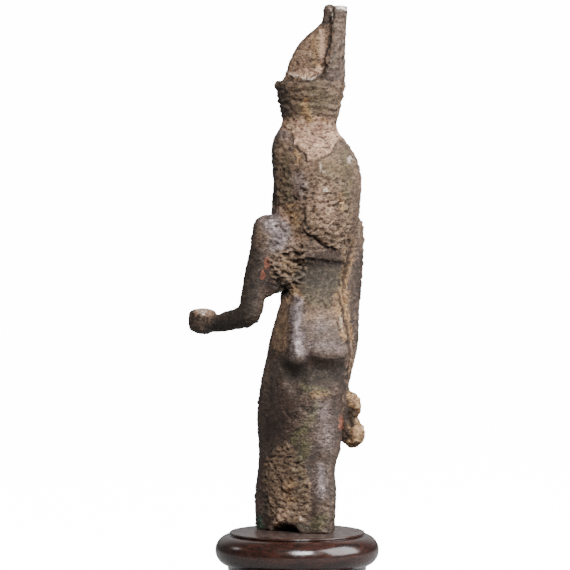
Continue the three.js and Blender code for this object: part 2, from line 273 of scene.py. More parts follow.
def finished(thing):
    """Applies an object's modifiers, and gives the object its finished mesh."""
    graph = bpy.context.evaluated_depsgraph_get()
    mesh = bpy.data.meshes.new_from_object(thing.evaluated_get(graph))
    thing.modifiers.clear()
    thing.data = mesh
    return thing


def cut(thing, tool):
    """Takes the tool's volume out of the thing, with a Boolean modifier, and removes the tool."""
    boolean = thing.modifiers.new("cut", "BOOLEAN")
    boolean.operation = "DIFFERENCE"
    boolean.solver = "MANIFOLD"
    boolean.object = tool
    finished(thing)
    bpy.data.objects.remove(tool)
    return thing


# %% [markdown]
# ## The stand
#
# The stand was turned on a lathe, stained like old mahogany and polished. A turned thing is its
# profile, carried round a circle: a round foot, a hollow neck, a bold half-round torus, and a thin
# plate that the figure stands on. The arcs of the profile are real arcs, and the small quirks
# between them matter, because each one catches a line of light.

# %% The stand's profile and its turning
PLATE_RADIUS = 21.9
PLATE_EDGE = 0.35
TORUS_RADIUS = 5.0
TORUS_HEIGHT = 27.9
COLLAR_RADIUS = 22.4
COLLAR_FOOT = TORUS_HEIGHT - TORUS_RADIUS - 1.4
NECK_RADIUS = 18.6
NECK_FOOT = 9.4
FOOT_RADIUS = 27.5
FOOT_LIP = 1.0
FOOT_ROUND = 3.6
FOOT_TOP_RADIUS = FOOT_RADIUS - 2.9
HUB_RADIUS = 0.5
STAND_SIDES = 288


def arc(r, z, radius, start, end, steps=24):
    """Points on a circle about (r, z), from one angle to another, in degrees."""
    angle = np.radians(np.linspace(start, end, steps + 1))
    return np.column_stack([r + radius * np.cos(angle), z + radius * np.sin(angle)])


def around(profile, sides):
    """A profile carried round the axis: at the angle a, radius r and height z become the point
    (r cos a, r sin a, z)."""
    angle = np.linspace(0, 2 * np.pi, sides, endpoint=False)[None, :]
    r, z = profile[:, :1], profile[:, 1:]
    return np.stack([r * np.cos(angle), r * np.sin(angle), z + 0 * angle], axis=-1)


neck_rows = [
    [NECK_FOOT, FOOT_TOP_RADIUS],
    [NECK_FOOT + 2, NECK_RADIUS + 1.6],
    [NECK_FOOT + 5, NECK_RADIUS],
    [NECK_FOOT + 8.2, NECK_RADIUS + 0.6],
    [COLLAR_FOOT, COLLAR_RADIUS],
]
neck_heights = np.linspace(NECK_FOOT, COLLAR_FOOT, 30)
stand_profile = np.vstack([
    [[HUB_RADIUS, 0]],
    arc(FOOT_RADIUS - FOOT_LIP, FOOT_LIP, FOOT_LIP, -90, 0, 6),
    arc(FOOT_RADIUS - FOOT_ROUND, FOOT_LIP + FOOT_ROUND, FOOT_ROUND, 0, 80),
    [[FOOT_TOP_RADIUS - 0.05, 8.3], [FOOT_TOP_RADIUS, NECK_FOOT - 0.1]],
    np.column_stack([smooth(neck_rows, neck_heights)[:, 0], neck_heights]),
    [[COLLAR_RADIUS + 0.05, COLLAR_FOOT + 0.2], [COLLAR_RADIUS, TORUS_HEIGHT - TORUS_RADIUS]],
    arc(PLATE_RADIUS - 0.4, TORUS_HEIGHT, TORUS_RADIUS, -78, 82, 40),
    [[PLATE_RADIUS - 0.55, STAND_TOP - 1.15]],
    arc(PLATE_RADIUS - PLATE_EDGE, STAND_TOP - 0.55, PLATE_EDGE, -60, 88, 8),
    [[r, STAND_TOP] for r in (PLATE_RADIUS - 3, 12, 4, HUB_RADIUS)],
])
stand = solid("turned-stand", around(stand_profile, STAND_SIDES), lift=0)
print(f"the stand has {len(stand.data.polygons)} faces")

# %% [markdown]
# ## The figure's forms
#
# She is built as a modeller would block her out: the dress and the body in it, two legs, the wig
# with its lappets, the arms, the crown. Each form is closed, and they pass through one another.
# They are joined later, all at once, so nothing here has to meet its neighbour exactly.

# %% The dress, the body and the legs
dress = upright([
    [0, -0.4, -1.2, 7.4, 11.4, 12, 13, 2.2],
    [10, -0.4, -1.2, 7.6, 11.8, 12.2, 13, 2.2],
    [20, -0.4, -0.6, 8.4, 11.4, 11.6, 12, 2.2],
    [30, -0.6, 0.8, 9.6, 11.2, 11.4, 8, 2.2],
    [42, -0.6, 3.4, 11.6, 10.8, 11.8, 0, 2.3],
    [49.6, -0.3, 4.8, 12.5, 11.6, 12.2, -8, 2.6],
    [55.4, -0.2, 5.5, 12.7, 12.6, 11.8, -12, 2.9],
    [58.6, -0.2, 5.9, 12.6, 12.6, 11.4, -12, 3.1],
    [62, -0.3, 6.1, 12.2, 12, 11, -12, 3.1],
    [67, -0.5, 6.5, 11.3, 10.7, 10.6, -10, 2.9],
    [72, -0.6, 6.8, 10.4, 9.2, 9.8, -6, 2.6],
    [77, -0.6, 7.2, 9.5, 7.7, 8.8, 0, 2.4],
    [86, -0.2, 6.8, 10.8, 7.2, 8.4, 0, 2.4],
    [93, 0, 6.2, 13.6, 6.8, 8.4, 0, 2.5],
    [97.6, 0, 5.6, 15.4, 6.2, 7, 0, 2.4],
    [101, 0, 5.4, 13.6, 5.2, 5.6, 0, 2.2],
    [103.6, 0, 5.2, 8, 4.6, 4.8],
], sides=120)
right_leg = upright([
    [0, -2.8, 8, 4.8],
    [13, -2.9, 8.2, 5.2],
    [21, -3, 7.9, 5],
    [27, -3.8, 8.2, 5.8],
    [35, -4.4, 7.9, 6.2],
    [46, -4.8, 7.4, 6.2],
    [54, -4.6, 6.8, 5.6],
], sides=56)
left_leg = upright([
    [0, 2.6, -10.2, 4.8],
    [10, 2.6, -10.2, 5.2],
    [23, 2.8, -8.8, 4.7],
    [38, 4.4, -5.2, 6.2],
    [48, 5.2, -2.2, 6.4],
    [54, 5.4, -0.4, 6.2],
    [62, 5.2, 2.4, 5.8],
    [70, 4.6, 4.8, 5],
], sides=56)
breasts = [lump(side * 5.4, 0.8, 88.8, 4.8, 4.6, 4.6) for side in (1, -1)]
body = [dress, right_leg, left_leg, *breasts]
print(f"the body is {len(body)} forms, {sum(form[..., 0].size for form in body)} points in all")

# %% The wig and its lappets
wig_block = upright([
    [87.4, 0, 8.4, 10.6, 6.2, 2, 0, 3.2],
    [91, 0, 8.4, 11.2, 8, 2, 0, 3.2],
    [96, 0, 8.6, 12, 10.6, 3, 0, 3],
    [101, 0, 8.8, 12.8, 12.6, 7, 0, 2.9],
    [107, 0, 9.2, 13.1, 13.4, 10, 0, 2.6],
    [111, 0, 9.5, 13.4, 13.8, 11.6, 0, 2.5],
    [117, 0, 9, 13.5, 13.6, 12.2, 0, 2.4],
    [122.6, 0, 7.3, 13, 12.8, 12, 0, 2.2],
    [126.4, 0, 5.8, 11.6, 11.2],
    [129.4, 0, 5.2, 9.4, 9.6, 9.4],
    [132.5, 0, 6, 8, 9, 8.8],
], sides=120)
face_opening = upright([
    [92, 0, -8, 5, 9, 9, 0, 3],
    [108, 0, -8, 6, 9, 9, 0, 3],
    [118, 0, -8, 6.8, 8.4, 9, 0, 3],
    [123.6, 0, -8, 6.2, 7.6, 9, 0, 3],
], sides=64, high_cap=3)


def lappet(side):
    """The lappet on her left, side 1, or on her right, side -1."""
    return upright([
        [91, side * 7, 0, 3.3, 3, 2.8, 0, 3],
        [98, side * 7.1, 0.2, 3.3, 4, 2.8, 0, 3],
        [106, side * 7.1, 1, 3.2, 4, 3, 0, 2.8],
        [116, side * 7.2, 2.2, 3, 4, 3, 0, 2.6],
    ], sides=48)


print(f"the wig is a grid of {wig_block.shape[0]} rings of {wig_block.shape[1]} points")

# %% The neck, the head and the bird on her brow
neck = limb([[0, 5, 98, 5], [0, 3.5, 104, 4.6], [0, 2.5, 110, 4.6]])
head = upright([
    [105, 0, -2.2, 2.8, 3, 2.6],
    [108, 0, -1.8, 5, 4, 4.2, 0, 2.1],
    [113, 0, -1.2, 6.5, 4, 4.9, 0, 2.2],
    [118, 0, -0.9, 6.9, 4, 4.8, 0, 2.2],
    [124, 0, -0.1, 6.6, 4, 4.2, 0, 2.2],
], sides=64, low_cap=2)
brow_bird = limb([
    [0, -4.4, 128.4, 1.5],
    [0, -5.6, 125.4, 1.6],
    [0, -6.6, 122.8, 1],
], sides=32, spacing=0.4, round_ends=0.2)
head_forms = [neck, head, brow_bird]
print(f"the head is {len(head_forms)} forms under the wig")

# %% The arms
left_arm = limb([
    [15.2, 5.4, 102.5, 4.4],
    [16.2, 5.2, 97.8, 5.2],
    [17, 4, 91.5, 4.6],
    [17.9, 1.6, 84, 4.1],
    [18.4, 0.2, 77.6, 3.9],
    [18.6, -1.6, 71, 3.8],
    [18.4, -6.8, 69.3, 3.4],
    [18, -12.6, 68.2, 3.3],
    [17.6, -18.2, 67.1, 2.95],
    [17.4, -22, 67.1, 3],
    [17, -26.4, 67.2, 2.6],
])
left_fist = upright([
    [63, 17.2, -27.2, 3.4, 4, 4, 0, 4],
    [67.2, 17.2, -27.2, 3.8, 4.4, 4.4, 0, 4],
    [71.7, 17.2, -27.2, 3.6, 4.1, 4.1, 0, 4],
], sides=64, low_cap=2.4, high_cap=1.6)
left_shoulder = lump(14.6, 6, 96.4, 5.8, 5.4, 6.4)
armpit = upright([
    [77.2, 12.4, 4.4, 2.4],
    [80.4, 12.4, 4.6, 4, 3.8, 3],
    [86, 12, 5.4, 5.6, 5.4, 3.8, 0, 2.2],
    [93, 11.6, 5.8, 6.4, 6.4, 4.2, -6, 2.4],
    [98, 11.4, 5.6, 6.4, 6, 4.4, -6, 2.4],
    [102.6, 11.4, 5.4, 5.4, 4.4, 4, 0, 2.2],
], sides=56, low_cap=3, high_cap=4)
armpit_sides = [lump(14.6, 2.8, 79, 2.4, 2.4, 3), lump(7.8, 3, 75.5, 1.4, 1.8, 4)]
right_arm = limb([
    [-15.2, 5.4, 102.5, 4.4],
    [-16.9, 5.2, 97.2, 5.2],
    [-17.9, 5, 88, 4.6],
    [-17.5, 5.2, 78, 4.1],
    [-17, 5.4, 69, 3.7],
    [-16.4, 6, 60.6, 3.5],
    [-14.9, 6.2, 51.8, 2.6],
    [-13.8, 6.2, 45.4, 2.3],
    [-15, 7.4, 38, 2.9],
    [-16.2, 8.2, 31, 3],
])
right_fist = lump(-16.4, 8.4, 31.2, 3.9, 4.3, 4.5, square=2.4)
wrist_crust = lump(-15.8, 8.8, 40.2, 3, 3, 4.8)
seam = upright([
    [36, -12.6, 6.4, 3, 2.2],
    [50, -12.6, 6.4, 3, 2.4],
    [66, -12.8, 7.2, 3.2, 2.6],
    [80, -13, 7.2, 4, 3],
    [94, -12.6, 6, 5, 4],
], sides=48, low_cap=3, high_cap=3)
arms = [
    left_arm, left_fist, left_shoulder, armpit, *armpit_sides, right_arm, right_fist, wrist_crust, seam,
]
print(f"the arms are {len(arms)} forms")

# %% The double crown
crown_block = upright([
    [126.5, 0, 6.2, 8.2, 9.4],
    [131.8, 0, 6.3, 8, 9.3],
    [135, 0, 6.4, 8.6, 10.3, 10.2],
    [138.4, 0, 6.4, 9.1, 11.1, 11],
    [141.8, 0, 6.4, 9.9, 12.2, 12.1],
    [144, 0, 6.4, 10.3, 12.9, 12.8],
    [145.4, 0, 6.6, 10.1, 12.4, 12.5],
])
crown_ledge = upright([[144.5, 0, 7, 8.9, 10.4, 11.4], [147.4, 0, 7, 9.3, 10.4, 11.8]])
tall_back = upright([
    [136.4, 0, 14.6, 4, 1.6, 1.6, 0, 4],
    [141.4, 0, 16.4, 4.4, 1.6, 1.6, 0, 4],
    [146.4, -0.2, 18, 4.2, 1.6, 1.6, 0, 4],
    [152, -0.5, 18.5, 3.4, 1.5, 1.4, 0, 4],
    [160, -0.9, 19.1, 2.9, 1.4, 1.3, 0, 4],
    [FIGURE_HEIGHT - 0.6, -1.3, 19.6, 2.7, 1.4, 1.2, 0, 4],
], sides=64, spacing=0.4)
white_crown = upright([
    [141.4, 0, 8.4, 8, 8, 8.2],
    [144.6, 0, 8.2, 9, 9, 11],
    [148.4, 0, 8.6, 8.4, 8.6, 9.7],
    [151.6, 0, 9.2, 7.9, 8.4, 9],
    [154.9, 0, 10.2, 7, 7.4, 8],
    [158.1, 0, 11.6, 5.6, 6, 6.6],
    [161, 0, 13.6, 3.8, 3.6, 4.4],
    [163.6, 0, 15, 2, 1.9, 2.4],
    [166, 0, 15.7, 1.8, 1.5, 2, 0, 2.6],
    [FIGURE_HEIGHT, -0.1, 16, 1.8, 1.4, 1.8, 0, 3],
], high_cap=0.9, spacing=0.4)
crown_forms = [tall_back, white_crown]
print(f"the crown rises {FIGURE_HEIGHT - 126.5:.0f} mm above the wig")

# %% [markdown]
# ## One casting out of many forms
#
# The forms are put in one object, and a Remesh modifier in voxel mode wraps them in a single skin
# of even little quads. That does two jobs. It unites the forms, as the melted metal did, and it
# gives a surface whose points are all about half a millimetre apart, fine enough to carry cracks
# and crusts as real relief. The opening for the face and the ledge in the crown are cut first, from
# their own forms, and the hollow under the hem is cut from the whole.

# %% Join the forms into one skin
ROUGH_VOXEL = 0.5
FINE_VOXEL = 0.47


def voxels(thing, size):
    """A Remesh modifier with voxels of a size in millimetres."""
    remesh = thing.modifiers.new("remesh", "REMESH")
    remesh.mode = "VOXEL"
    remesh.voxel_size = size * MM
    return thing


wig = cut(solid("wig", wig_block), solid("opening", face_opening))
crown = cut(solid("crown-base", crown_block), solid("ledge", crown_ledge))
figure = solid(
    "statuette-bronze", *body, lappet(1), lappet(-1), *head_forms, *arms, *crown_forms
)
with bpy.context.temp_override(
    active_object=figure, object=figure, selected_editable_objects=[figure, wig, crown]
):
    bpy.ops.object.join()
finished(voxels(figure, ROUGH_VOXEL))
cut(figure, solid("hollow", lump(6.8, 1.2, 0, 6, 5.6, 3.1, turn=50)))
finished(voxels(figure, FINE_VOXEL))
print(f"the casting has {len(figure.data.vertices)} points")

# %% [markdown]
# ## Working on the points
#
# From here the mesh is a long list of points, and every change is a sum over the whole list. A
# point needs its neighbours, to be smoothed towards them, and its normal, to be pushed along.

# %% Points, neighbours and normals
def read(items, name, width):
    """One property of all a mesh's points, as rows of numbers."""
    values = np.empty(len(items) * width, np.float32)
    items.foreach_get(name, values)
    return values.reshape(-1, width).astype(float)


def points_of(thing):
    return read(thing.data.vertices, "co", 3) / MM - [0, 0, STAND_TOP]


def put_points(thing, points):
    metres = (points + [0, 0, STAND_TOP]) * MM
    thing.data.vertices.foreach_set("co", metres.astype(np.float32).ravel())
    thing.data.update()


def normals_of(thing):
    return read(thing.data.vertex_normals, "vector", 3)


pairs = np.empty(len(figure.data.edges) * 2, np.int32)
figure.data.edges.foreach_get("vertices", pairs)
pairs = pairs.reshape(-1, 2)
neighbours = np.bincount(pairs.ravel(), minlength=len(figure.data.vertices))


def neighbour_mean(values):
    """The mean of each point's neighbours, for one or more columns of values."""
    total = np.empty_like(values)
    for column in range(values.shape[1]):
        v = values[:, column]
        one = np.bincount(pairs[:, 0], v[pairs[:, 1]], len(v))
        total[:, column] = one + np.bincount(pairs[:, 1], v[pairs[:, 0]], len(v))
    return total / neighbours[:, None]


def relax(values, share, rounds):
    """In each round, every value moves by its share of the way to the mean of its neighbours."""
    for _ in range(rounds):
        values = values + share * (neighbour_mean(values) - values)
    return values


points = relax(points_of(figure), 0.5, 3)
put_points(figure, points)
print(f"a point has {neighbours.mean():.1f} neighbours")

# %% [markdown]
# ## Noise worked out from the place
#
# Corrosion looks random, yet it must come out the same every time. Gradient noise does that: space
# is cut into cubes, every corner gets a fixed direction from a hash of its whole numbers, and the
# value between the corners is a smooth blend. Layers of finer and finer noise give roughness.
# Scattered seeds, one in each cube, give the pits and the facets of bare metal.

# %% Noise
def scatter(cube, salt):
    """Three numbers from -1 to 1 for each cube, always the same: its whole numbers are multiplied by
    large primes, their bits are mixed, and ten bits are kept for each of the three numbers."""
    x, y, z = (cube[:, axis].astype(np.uint64) for axis in range(3))
    mixed = x * np.uint64(73856093) ^ y * np.uint64(19349663) ^ z * np.uint64(83492791)
    mixed ^= np.uint64(salt * 2654435761)
    for shift in (33, 29, 32):
        mixed = (mixed ^ (mixed >> np.uint64(shift))) * np.uint64(0x9E3779B97F4A7C15)
    parts = [(mixed >> np.uint64(shift)) & np.uint64(1023) for shift in (20, 34, 48)]
    return np.stack(parts, -1) / 511.5 - 1


CORNERS = np.array([[i, j, k] for i in (0, 1) for j in (0, 1) for k in (0, 1)])


def noise(places, size, salt=0):
    """Gradient noise from about -1 to 1, whose lumps have the given size in millimetres."""
    scaled = places / size + 1000
    cube = np.floor(scaled).astype(np.int64)
    inside = scaled - cube
    ease = inside**3 * (inside * (inside * 6 - 15) + 10)
    total = np.zeros(len(places))
    for corner in CORNERS:
        weight = np.prod(np.where(corner == 1, ease, 1 - ease), axis=1)
        total += weight * ((inside - corner) * scatter(cube + corner, salt)).sum(1)
    return 1.5 * total


def rough(places, size, salt=0, layers=4):
    """Layers of noise, each half as large and half as strong as the one before."""
    return sum(noise(places, size / 2**i, salt + i) / 2**i for i in range(layers))


def seeds(places, size, salt=0):
    """The distances to the nearest and second nearest of scattered seeds, in shares of size."""
    scaled = places / size + 1000
    cube = np.floor(scaled).astype(np.int64)
    first = np.full(len(places), 9.0)
    second = np.full(len(places), 9.0)
    for step in np.ndindex(3, 3, 3):
        other = cube + np.array(step) - 1
        gap = np.linalg.norm(other + 0.5 + 0.42 * scatter(other, salt) - scaled, axis=1)
        second = np.minimum(second, np.maximum(first, gap))
        first = np.minimum(first, gap)
    return first, second


print(f"the noise spreads about 0 by {noise(points, 5.0).std():.2f}")


# %% [markdown]
# ## Placing what the eye sees
#
# Most of the crusts and cracks are known from one side only. So each one is drawn on an upright
# plane through the stand's axis, square to the line of sight, in millimetres across and up from the
# middle of the stand's top, and then it is carried along the line of sight onto the figure, as a
# slide projector would. A point that faces away from the eye gets none of it.

# %% Where a point shows
def across_and_up(places):
    """Where the points show on the plane through the axis, in true perspective."""
    ray = places + [0, 0, STAND_TOP] - EYE
    nearer = VIEW_DISTANCE / -(ray @ TOWARD_EYE)
    return np.column_stack([(ray @ TO_THE_RIGHT) * nearer, (ray @ UPWARD) * nearer])


def seen(places):
    return across_and_up(places) - across_and_up(np.zeros((1, 3)))


def to_line(spots, line):
    """The distance from each spot to a line of straight pieces."""
    line = np.asarray(line, float)
    nearest = np.full(len(spots), 1e9)
    for a, b in zip(line[:-1], line[1:]):
        along = np.clip((spots - a) @ (b - a) / ((b - a) @ (b - a)), 0, 1)
        nearest = np.minimum(nearest, np.linalg.norm(spots - a - along[:, None] * (b - a), axis=1))
    return nearest


def within(spots, outline):
    """How far inside a closed outline each spot lies, and below 0 how far outside. A spot is inside
    if a level ray from it crosses the outline an odd number of times."""
    ring = np.asarray([*outline, outline[0]], float)
    inside = np.zeros(len(spots), bool)
    for a, b in zip(ring[:-1], ring[1:]):
        crosses = (a[1] > spots[:, 1]) != (b[1] > spots[:, 1])
        reach = a[0] + (spots[:, 1] - a[1]) * (b[0] - a[0]) / (b[1] - a[1] + 1e-9)
        inside ^= crosses & (spots[:, 0] < reach)
    return np.where(inside, 1, -1) * to_line(spots, ring)


def oval(spots, middle, half_width, half_height):
    """1 at the middle of a soft oval and 0 outside it: exp(-2 d^2), where d is 1 on its rim."""
    x, y = ((spots - middle) / [half_width, half_height]).T
    return np.exp(-2 * (x**2 + y**2))


left, right = seen(points)[:, 0].min(), seen(points)[:, 0].max()
print(f"the figure shows from {left:.1f} to {right:.1f} mm across")


# %% [markdown]
# ## The large forms under the crust
#
# Before any corrosion, the forms themselves get what the rings couldn't give them: the shelf under
# the hips, which dips at its left end, the ridge above it, and the edge of the wig's panel, which
# stands clear of the small of the back. Creases between forms are relaxed, so that arm and shoulder
# grow together. Most of this is drawn with soft brush strokes on the upright plane.

# %% Brush strokes
def strokes(spots, rows):
    """The strongest of several brush strokes at each spot. A row is a strength, a half width and the
    points of the stroke, and gives strength times exp(-(d / half width)^2), d being the distance."""
    best = np.zeros(len(spots))
    for strength, half_width, *line in rows:
        dot = len(line) == 1
        distance = np.linalg.norm(spots - line[0], axis=1) if dot else to_line(spots, line)
        best = np.maximum(best, strength * np.exp(-((distance / half_width) ** 2)))
    return best


# %% Shelf, ridge and panel
HIP_SHELF = [
    (-9, 61), (-5.5, 57.6), (-2.6, 54.2), (-0.2, 53), (1.8, 54), (3.9, 55.7), (7.4, 55.2),
    (12.2, 54.7), (16.1, 56.4), (18, 58),
]
PANEL_EDGE = [
    (-0.9, 86.2), (3.1, 87.6), (6, 87.4), (9.5, 86.8), (12.9, 86.5), (16.1, 86.2), (17.5, 87.1),
]


def height_over(spots, line):
    """How far each spot lies above a smooth line that runs from left to right."""
    return spots[:, 1] - smooth(line, spots[:, 0])[:, 0]


normals = normals_of(figure)
spots = seen(points)
faces_eye = rise(normals @ TOWARD_EYE, -0.1, 0.3)
on_body = rise(points[:, 0], -13.6, -12.2)
under = -height_over(spots, HIP_SHELF)
shelf = 2.7 * band(under, -1, 1.7, 3, 12) * band(spots[:, 0], -8, -2, 15, 18.5)
forms = strokes(spots, [
    (0.8, 2.2, (-1.2, 72), (-1.4, 66)),
    (1.1, 2.4, (-1.4, 66), (-1.2, 61)),
    (1.7, 2.8, (-1, 60), (-0.6, 56)),
    (1.2, 3.4, (7, 58), (14, 58)),
    (0.8, 3.6, (-7, 98)),
])
hollows = strokes(spots, [
    (0.7, 1, (3.9, 61.5), (3.9, 56.5)),
    (1.1, 3.6, (3.5, 82.5), (11, 82)),
    (0.5, 1, (-8.6, 104.4), (-4, 101.5), (0.5, 94.5)),
])
over = height_over(spots, PANEL_EDGE)
panel = 1.1 * band(over, -0.3, 0.3, 1, 8) * on_body * rise(spots[:, 0], -1, 2)
forward = (forms - hollows - shelf + panel) * faces_eye
points += forward[:, None] * LEVEL_TOWARD_EYE
put_points(figure, points)
print(f"the panel of the wig stands out by {panel.max():.1f} mm")

# %% Relax the creases
normals = normals_of(figure)
hollowness = ((neighbour_mean(points) - points) * normals).sum(1)
hollowness = relax(hollowness[:, None], 0.6, 6)[:, 0]
crease = rise(hollowness, 0.004, 0.02)
crease = np.clip(relax(crease[:, None], 0.6, 10)[:, 0] * 2.5, 0, 1)
bar_foot = strokes(spots, [(1, 3.2, (11.5, 143), (12, 147))]) * faces_eye
panel_edge = strokes(spots, [(1, 1, *PANEL_EDGE)]) * faces_eye
keep_sharp = rise(points[:, 2], 133, 136) - bar_foot + panel_edge
crease = np.maximum(crease * (1 - np.clip(keep_sharp, 0, 1)), rise(bar_foot, 0.2, 0.6))
for _ in range(40):
    points += 0.5 * crease[:, None] * (neighbour_mean(points) - points)
put_points(figure, points)
print(f"{100 * (crease > 0.5).mean():.0f}% of the points lie in creases that were relaxed")

# %% [markdown]
# ## The face
#
# The face looks away from the picture's eye, and it is a plain and calm one by the book: eyes half
# way down the head, the nose's foot a third of the way up from the chin to the hair, and the mouth
# a third of the way from there to the chin. It is modelled with the same brush, on the plane across
# her front, as bumps and dips of less than two millimetres.

# %% Eyes, nose and mouth
EYE_HEIGHT = 116.4
NOSE_FOOT = 111.3
MOUTH_HEIGHT = 109.3

normals = normals_of(figure)
front = np.column_stack([np.abs(points[:, 0]), points[:, 2]])
in_face = rise(-normals[:, 1], 0.1, 0.5) * rise(-points[:, 1], 2, 4.2)
in_face *= band(points[:, 2], 103, 105, 121, 123)
nose_share = np.clip((EYE_HEIGHT + 1.4 - points[:, 2]) / (EYE_HEIGHT + 1.4 - NOSE_FOOT), 0, 1)
nose = 1.7 * nose_share * rise(points[:, 2], NOSE_FOOT - 0.7, NOSE_FOOT + 0.1)
nose *= np.exp(-((points[:, 0] / (0.6 + 0.4 * nose_share)) ** 2))
raised = strokes(front, [
    (0.4, 0.5, (1, NOSE_FOOT + 0.6)),
    (0.3, 0.5, (1.1, EYE_HEIGHT + 1.9), (2.9, EYE_HEIGHT + 2.3), (4.8, EYE_HEIGHT + 1.5)),
    (0.55, 0.55, (2.2, EYE_HEIGHT), (3.6, EYE_HEIGHT)),
    (0.4, 1.6, (3.9, 112.6)),
    (0.45, 0.42, (0, MOUTH_HEIGHT + 0.45), (1.5, MOUTH_HEIGHT + 0.2)),
    (0.5, 0.45, (0, MOUTH_HEIGHT - 0.55), (1.1, MOUTH_HEIGHT - 0.4)),
    (0.5, 1.3, (0, 106.6)),
])
dipped = strokes(front, [
    (0.55, 1, (2, EYE_HEIGHT + 0.1), (3.8, EYE_HEIGHT + 0.1)),
    (0.3, 0.3, (0, MOUTH_HEIGHT), (1.7, MOUTH_HEIGHT)),
    (0.25, 0.9, (0, 107.9)),
])
points[:, 1] -= (nose + raised - dipped) * in_face
put_points(figure, points)
print(f"the nose stands out by {(nose * in_face).max():.1f} mm")

# %% [markdown]
# ## Crusts, cracks and pits
#
# Now the corrosion. A plate of crust is an outline whose inside is raised, with a steep edge that
# fades out where the ground laid the crust on thinly. A crack is a groove along a jagged line. The
# armpit's crust is made of strings and the drum's skin of ripples, and the hem's crust has both
# strings and pits. All of it is added up as one push along the normals, in millimetres. The lines
# get their jags from noise that shifts the spots before the distances are taken.

# %% Outlines of the crusts and cracks
CROWN_CRUST = [
    (-5.7, 131.8), (0.9, 133.5), (8, 133.5), (13.2, 131.2), (14.8, 128), (12, 124.5), (11.2, 122),
    (9.5, 120.8), (7.5, 120), (3.5, 119.2), (2.5, 121.2), (-1.2, 124.5), (-1.6, 127), (-2, 129.5),
]
WIG_CRUST = [
    (2.2, 113.8), (8, 116.4), (13.2, 114.4), (17.1, 109.9), (18, 103.5), (17.7, 99.6), (16.1, 95.7),
    (15.5, 93.7), (14.1, 91.3), (12.4, 90.5), (10.9, 91.7), (9.5, 91.5), (7.2, 93.4), (5.1, 95.3),
    (3.4, 95.5), (2.3, 97.2), (2.1, 98.9), (2.9, 100.9), (1.3, 105.1), (0.6, 109.9),
]
ARMPIT_CRUST = [
    (-8.6, 89.6), (-4.4, 90.6), (-0.5, 93.4), (1.6, 92), (2.9, 86.7), (2.2, 80.9), (0.3, 77.6), (-2.9, 76),
    (-6.4, 78), (-8.4, 82.5), (-9, 88),
]
HEM_CRUST = [
    (-7.6, 26.2), (-4.3, 28.3), (-1.4, 27.2), (1.9, 22.9), (4.5, 15.7), (4.5, 7.5), (2.5, 2.5),
    (-7, 2.5), (-10.6, 6.8), (-10.9, 21.3),
]
CREVICE = [
    (17.1, 92.8), (16.6, 86.7), (15.1, 80.9), (14.2, 74.4), (15.5, 68), (17.1, 61.5), (17.4, 55.1),
    (16.9, 48.6),
]
CRACKS = [
    (0.8, 0.34, (-2, 129.5), (-1.6, 127), (-1.2, 124.5), (0.6, 123), (2.5, 121.2), (3.5, 119.2)),
    (0.6, 0.34, (-6.5, 129.3), (-5.2, 130.2), (-3.6, 130.1), (-2, 128.9)),
    (0.5, 0.3, (12, 124.5), (11.2, 122), (9.5, 120.8), (7.5, 120)),
    (0.35, 0.3, (1.9, 125), (4, 124.2), (6.1, 123.4), (10, 123.8)),
    (0.9, 0.34, (2.3, 97.2), (3.4, 95.5), (5.1, 95.3), (7.2, 93.4), (9.5, 91.5), (10.9, 91.7)),
    (0.7, 0.34, (10.9, 91.7), (12.4, 90.5), (14.1, 91.3), (15.5, 93.7)),
    (1, 0.5, (1, 98.6), (2.8, 100.6)),
    (0.5, 0.3, (-7.5, 98.3), (-5.5, 98.5), (-3.3, 97.2), (-1.8, 95.3)),
    (0.3, 0.3, (-6.7, 102.9), (-4.4, 101.6)),
    (0.6, 0.4, *PANEL_EDGE[:-1]),
    (0.5, 0.4, (11.7, 168.6), (11.1, 164.7), (10.5, 159.9)),
    (0.8, 0.5, (10.5, 159.9), (9.8, 155.7), (8.7, 152.5), (8.2, 149.9)),
    (0.7, 0.5, (10.3, 163.8)),
    (1.5, 0.6, (15.2, 152.3), (17, 152)),
    (0.5, 0.6, (16.4, 146.6), (17, 146.2)),
    (0.5, 0.7, (16, 162.4), (17, 162)),
    (0.3, 0.3, (12.5, 68.6), (14.8, 62.2), (16.1, 58.3)),
    (0.7, 1, *CREVICE),
    (0.4, 0.25, (-6.5, 145.2), (0, 145), (6, 145.3)),
    (1.1, 0.6, (-0.8, 107.2)),
    (0.8, 0.5, (15.3, 112.4)),
    (1.8, 1.6, (-5.7, 79.6), (-4.4, 77.6)),
    (0.4, 0.4, (1.3, 40.2), (4, 37.8), (6.2, 39)),
    (0.4, 0.4, (-4, 38.6), (-1.6, 35.4)),
    (1.6, 1.7, (17.5, 37.8), (17.2, 35.8)),
    (0.6, 0.5, (15.6, 31), (17, 29.6)),
]

FLAKES = [((-9.5, 86.3), 1.05, 2.2), ((-11.1, 82.7), 0.95, 1.8), ((14.1, 34.7), 1, 2.7)]
LEDGE_EDGE = [(-3.9, 148), (1.9, 145.9), (5.1, 145.8), (7.4, 147.1)]
print(f"{len(CRACKS)} cracks and {len(FLAKES)} flakes are drawn")

# %% How far each crust reaches
normals = normals_of(figure)
spots = seen(points)
faces_eye = rise(normals @ TOWARD_EYE, -0.05, 0.25)
away = 1 - faces_eye
height = points[:, 2]
jag = np.column_stack([rough(points, 2.2, 11), rough(points, 2.2, 23)])
ragged = spots + 0.6 * jag

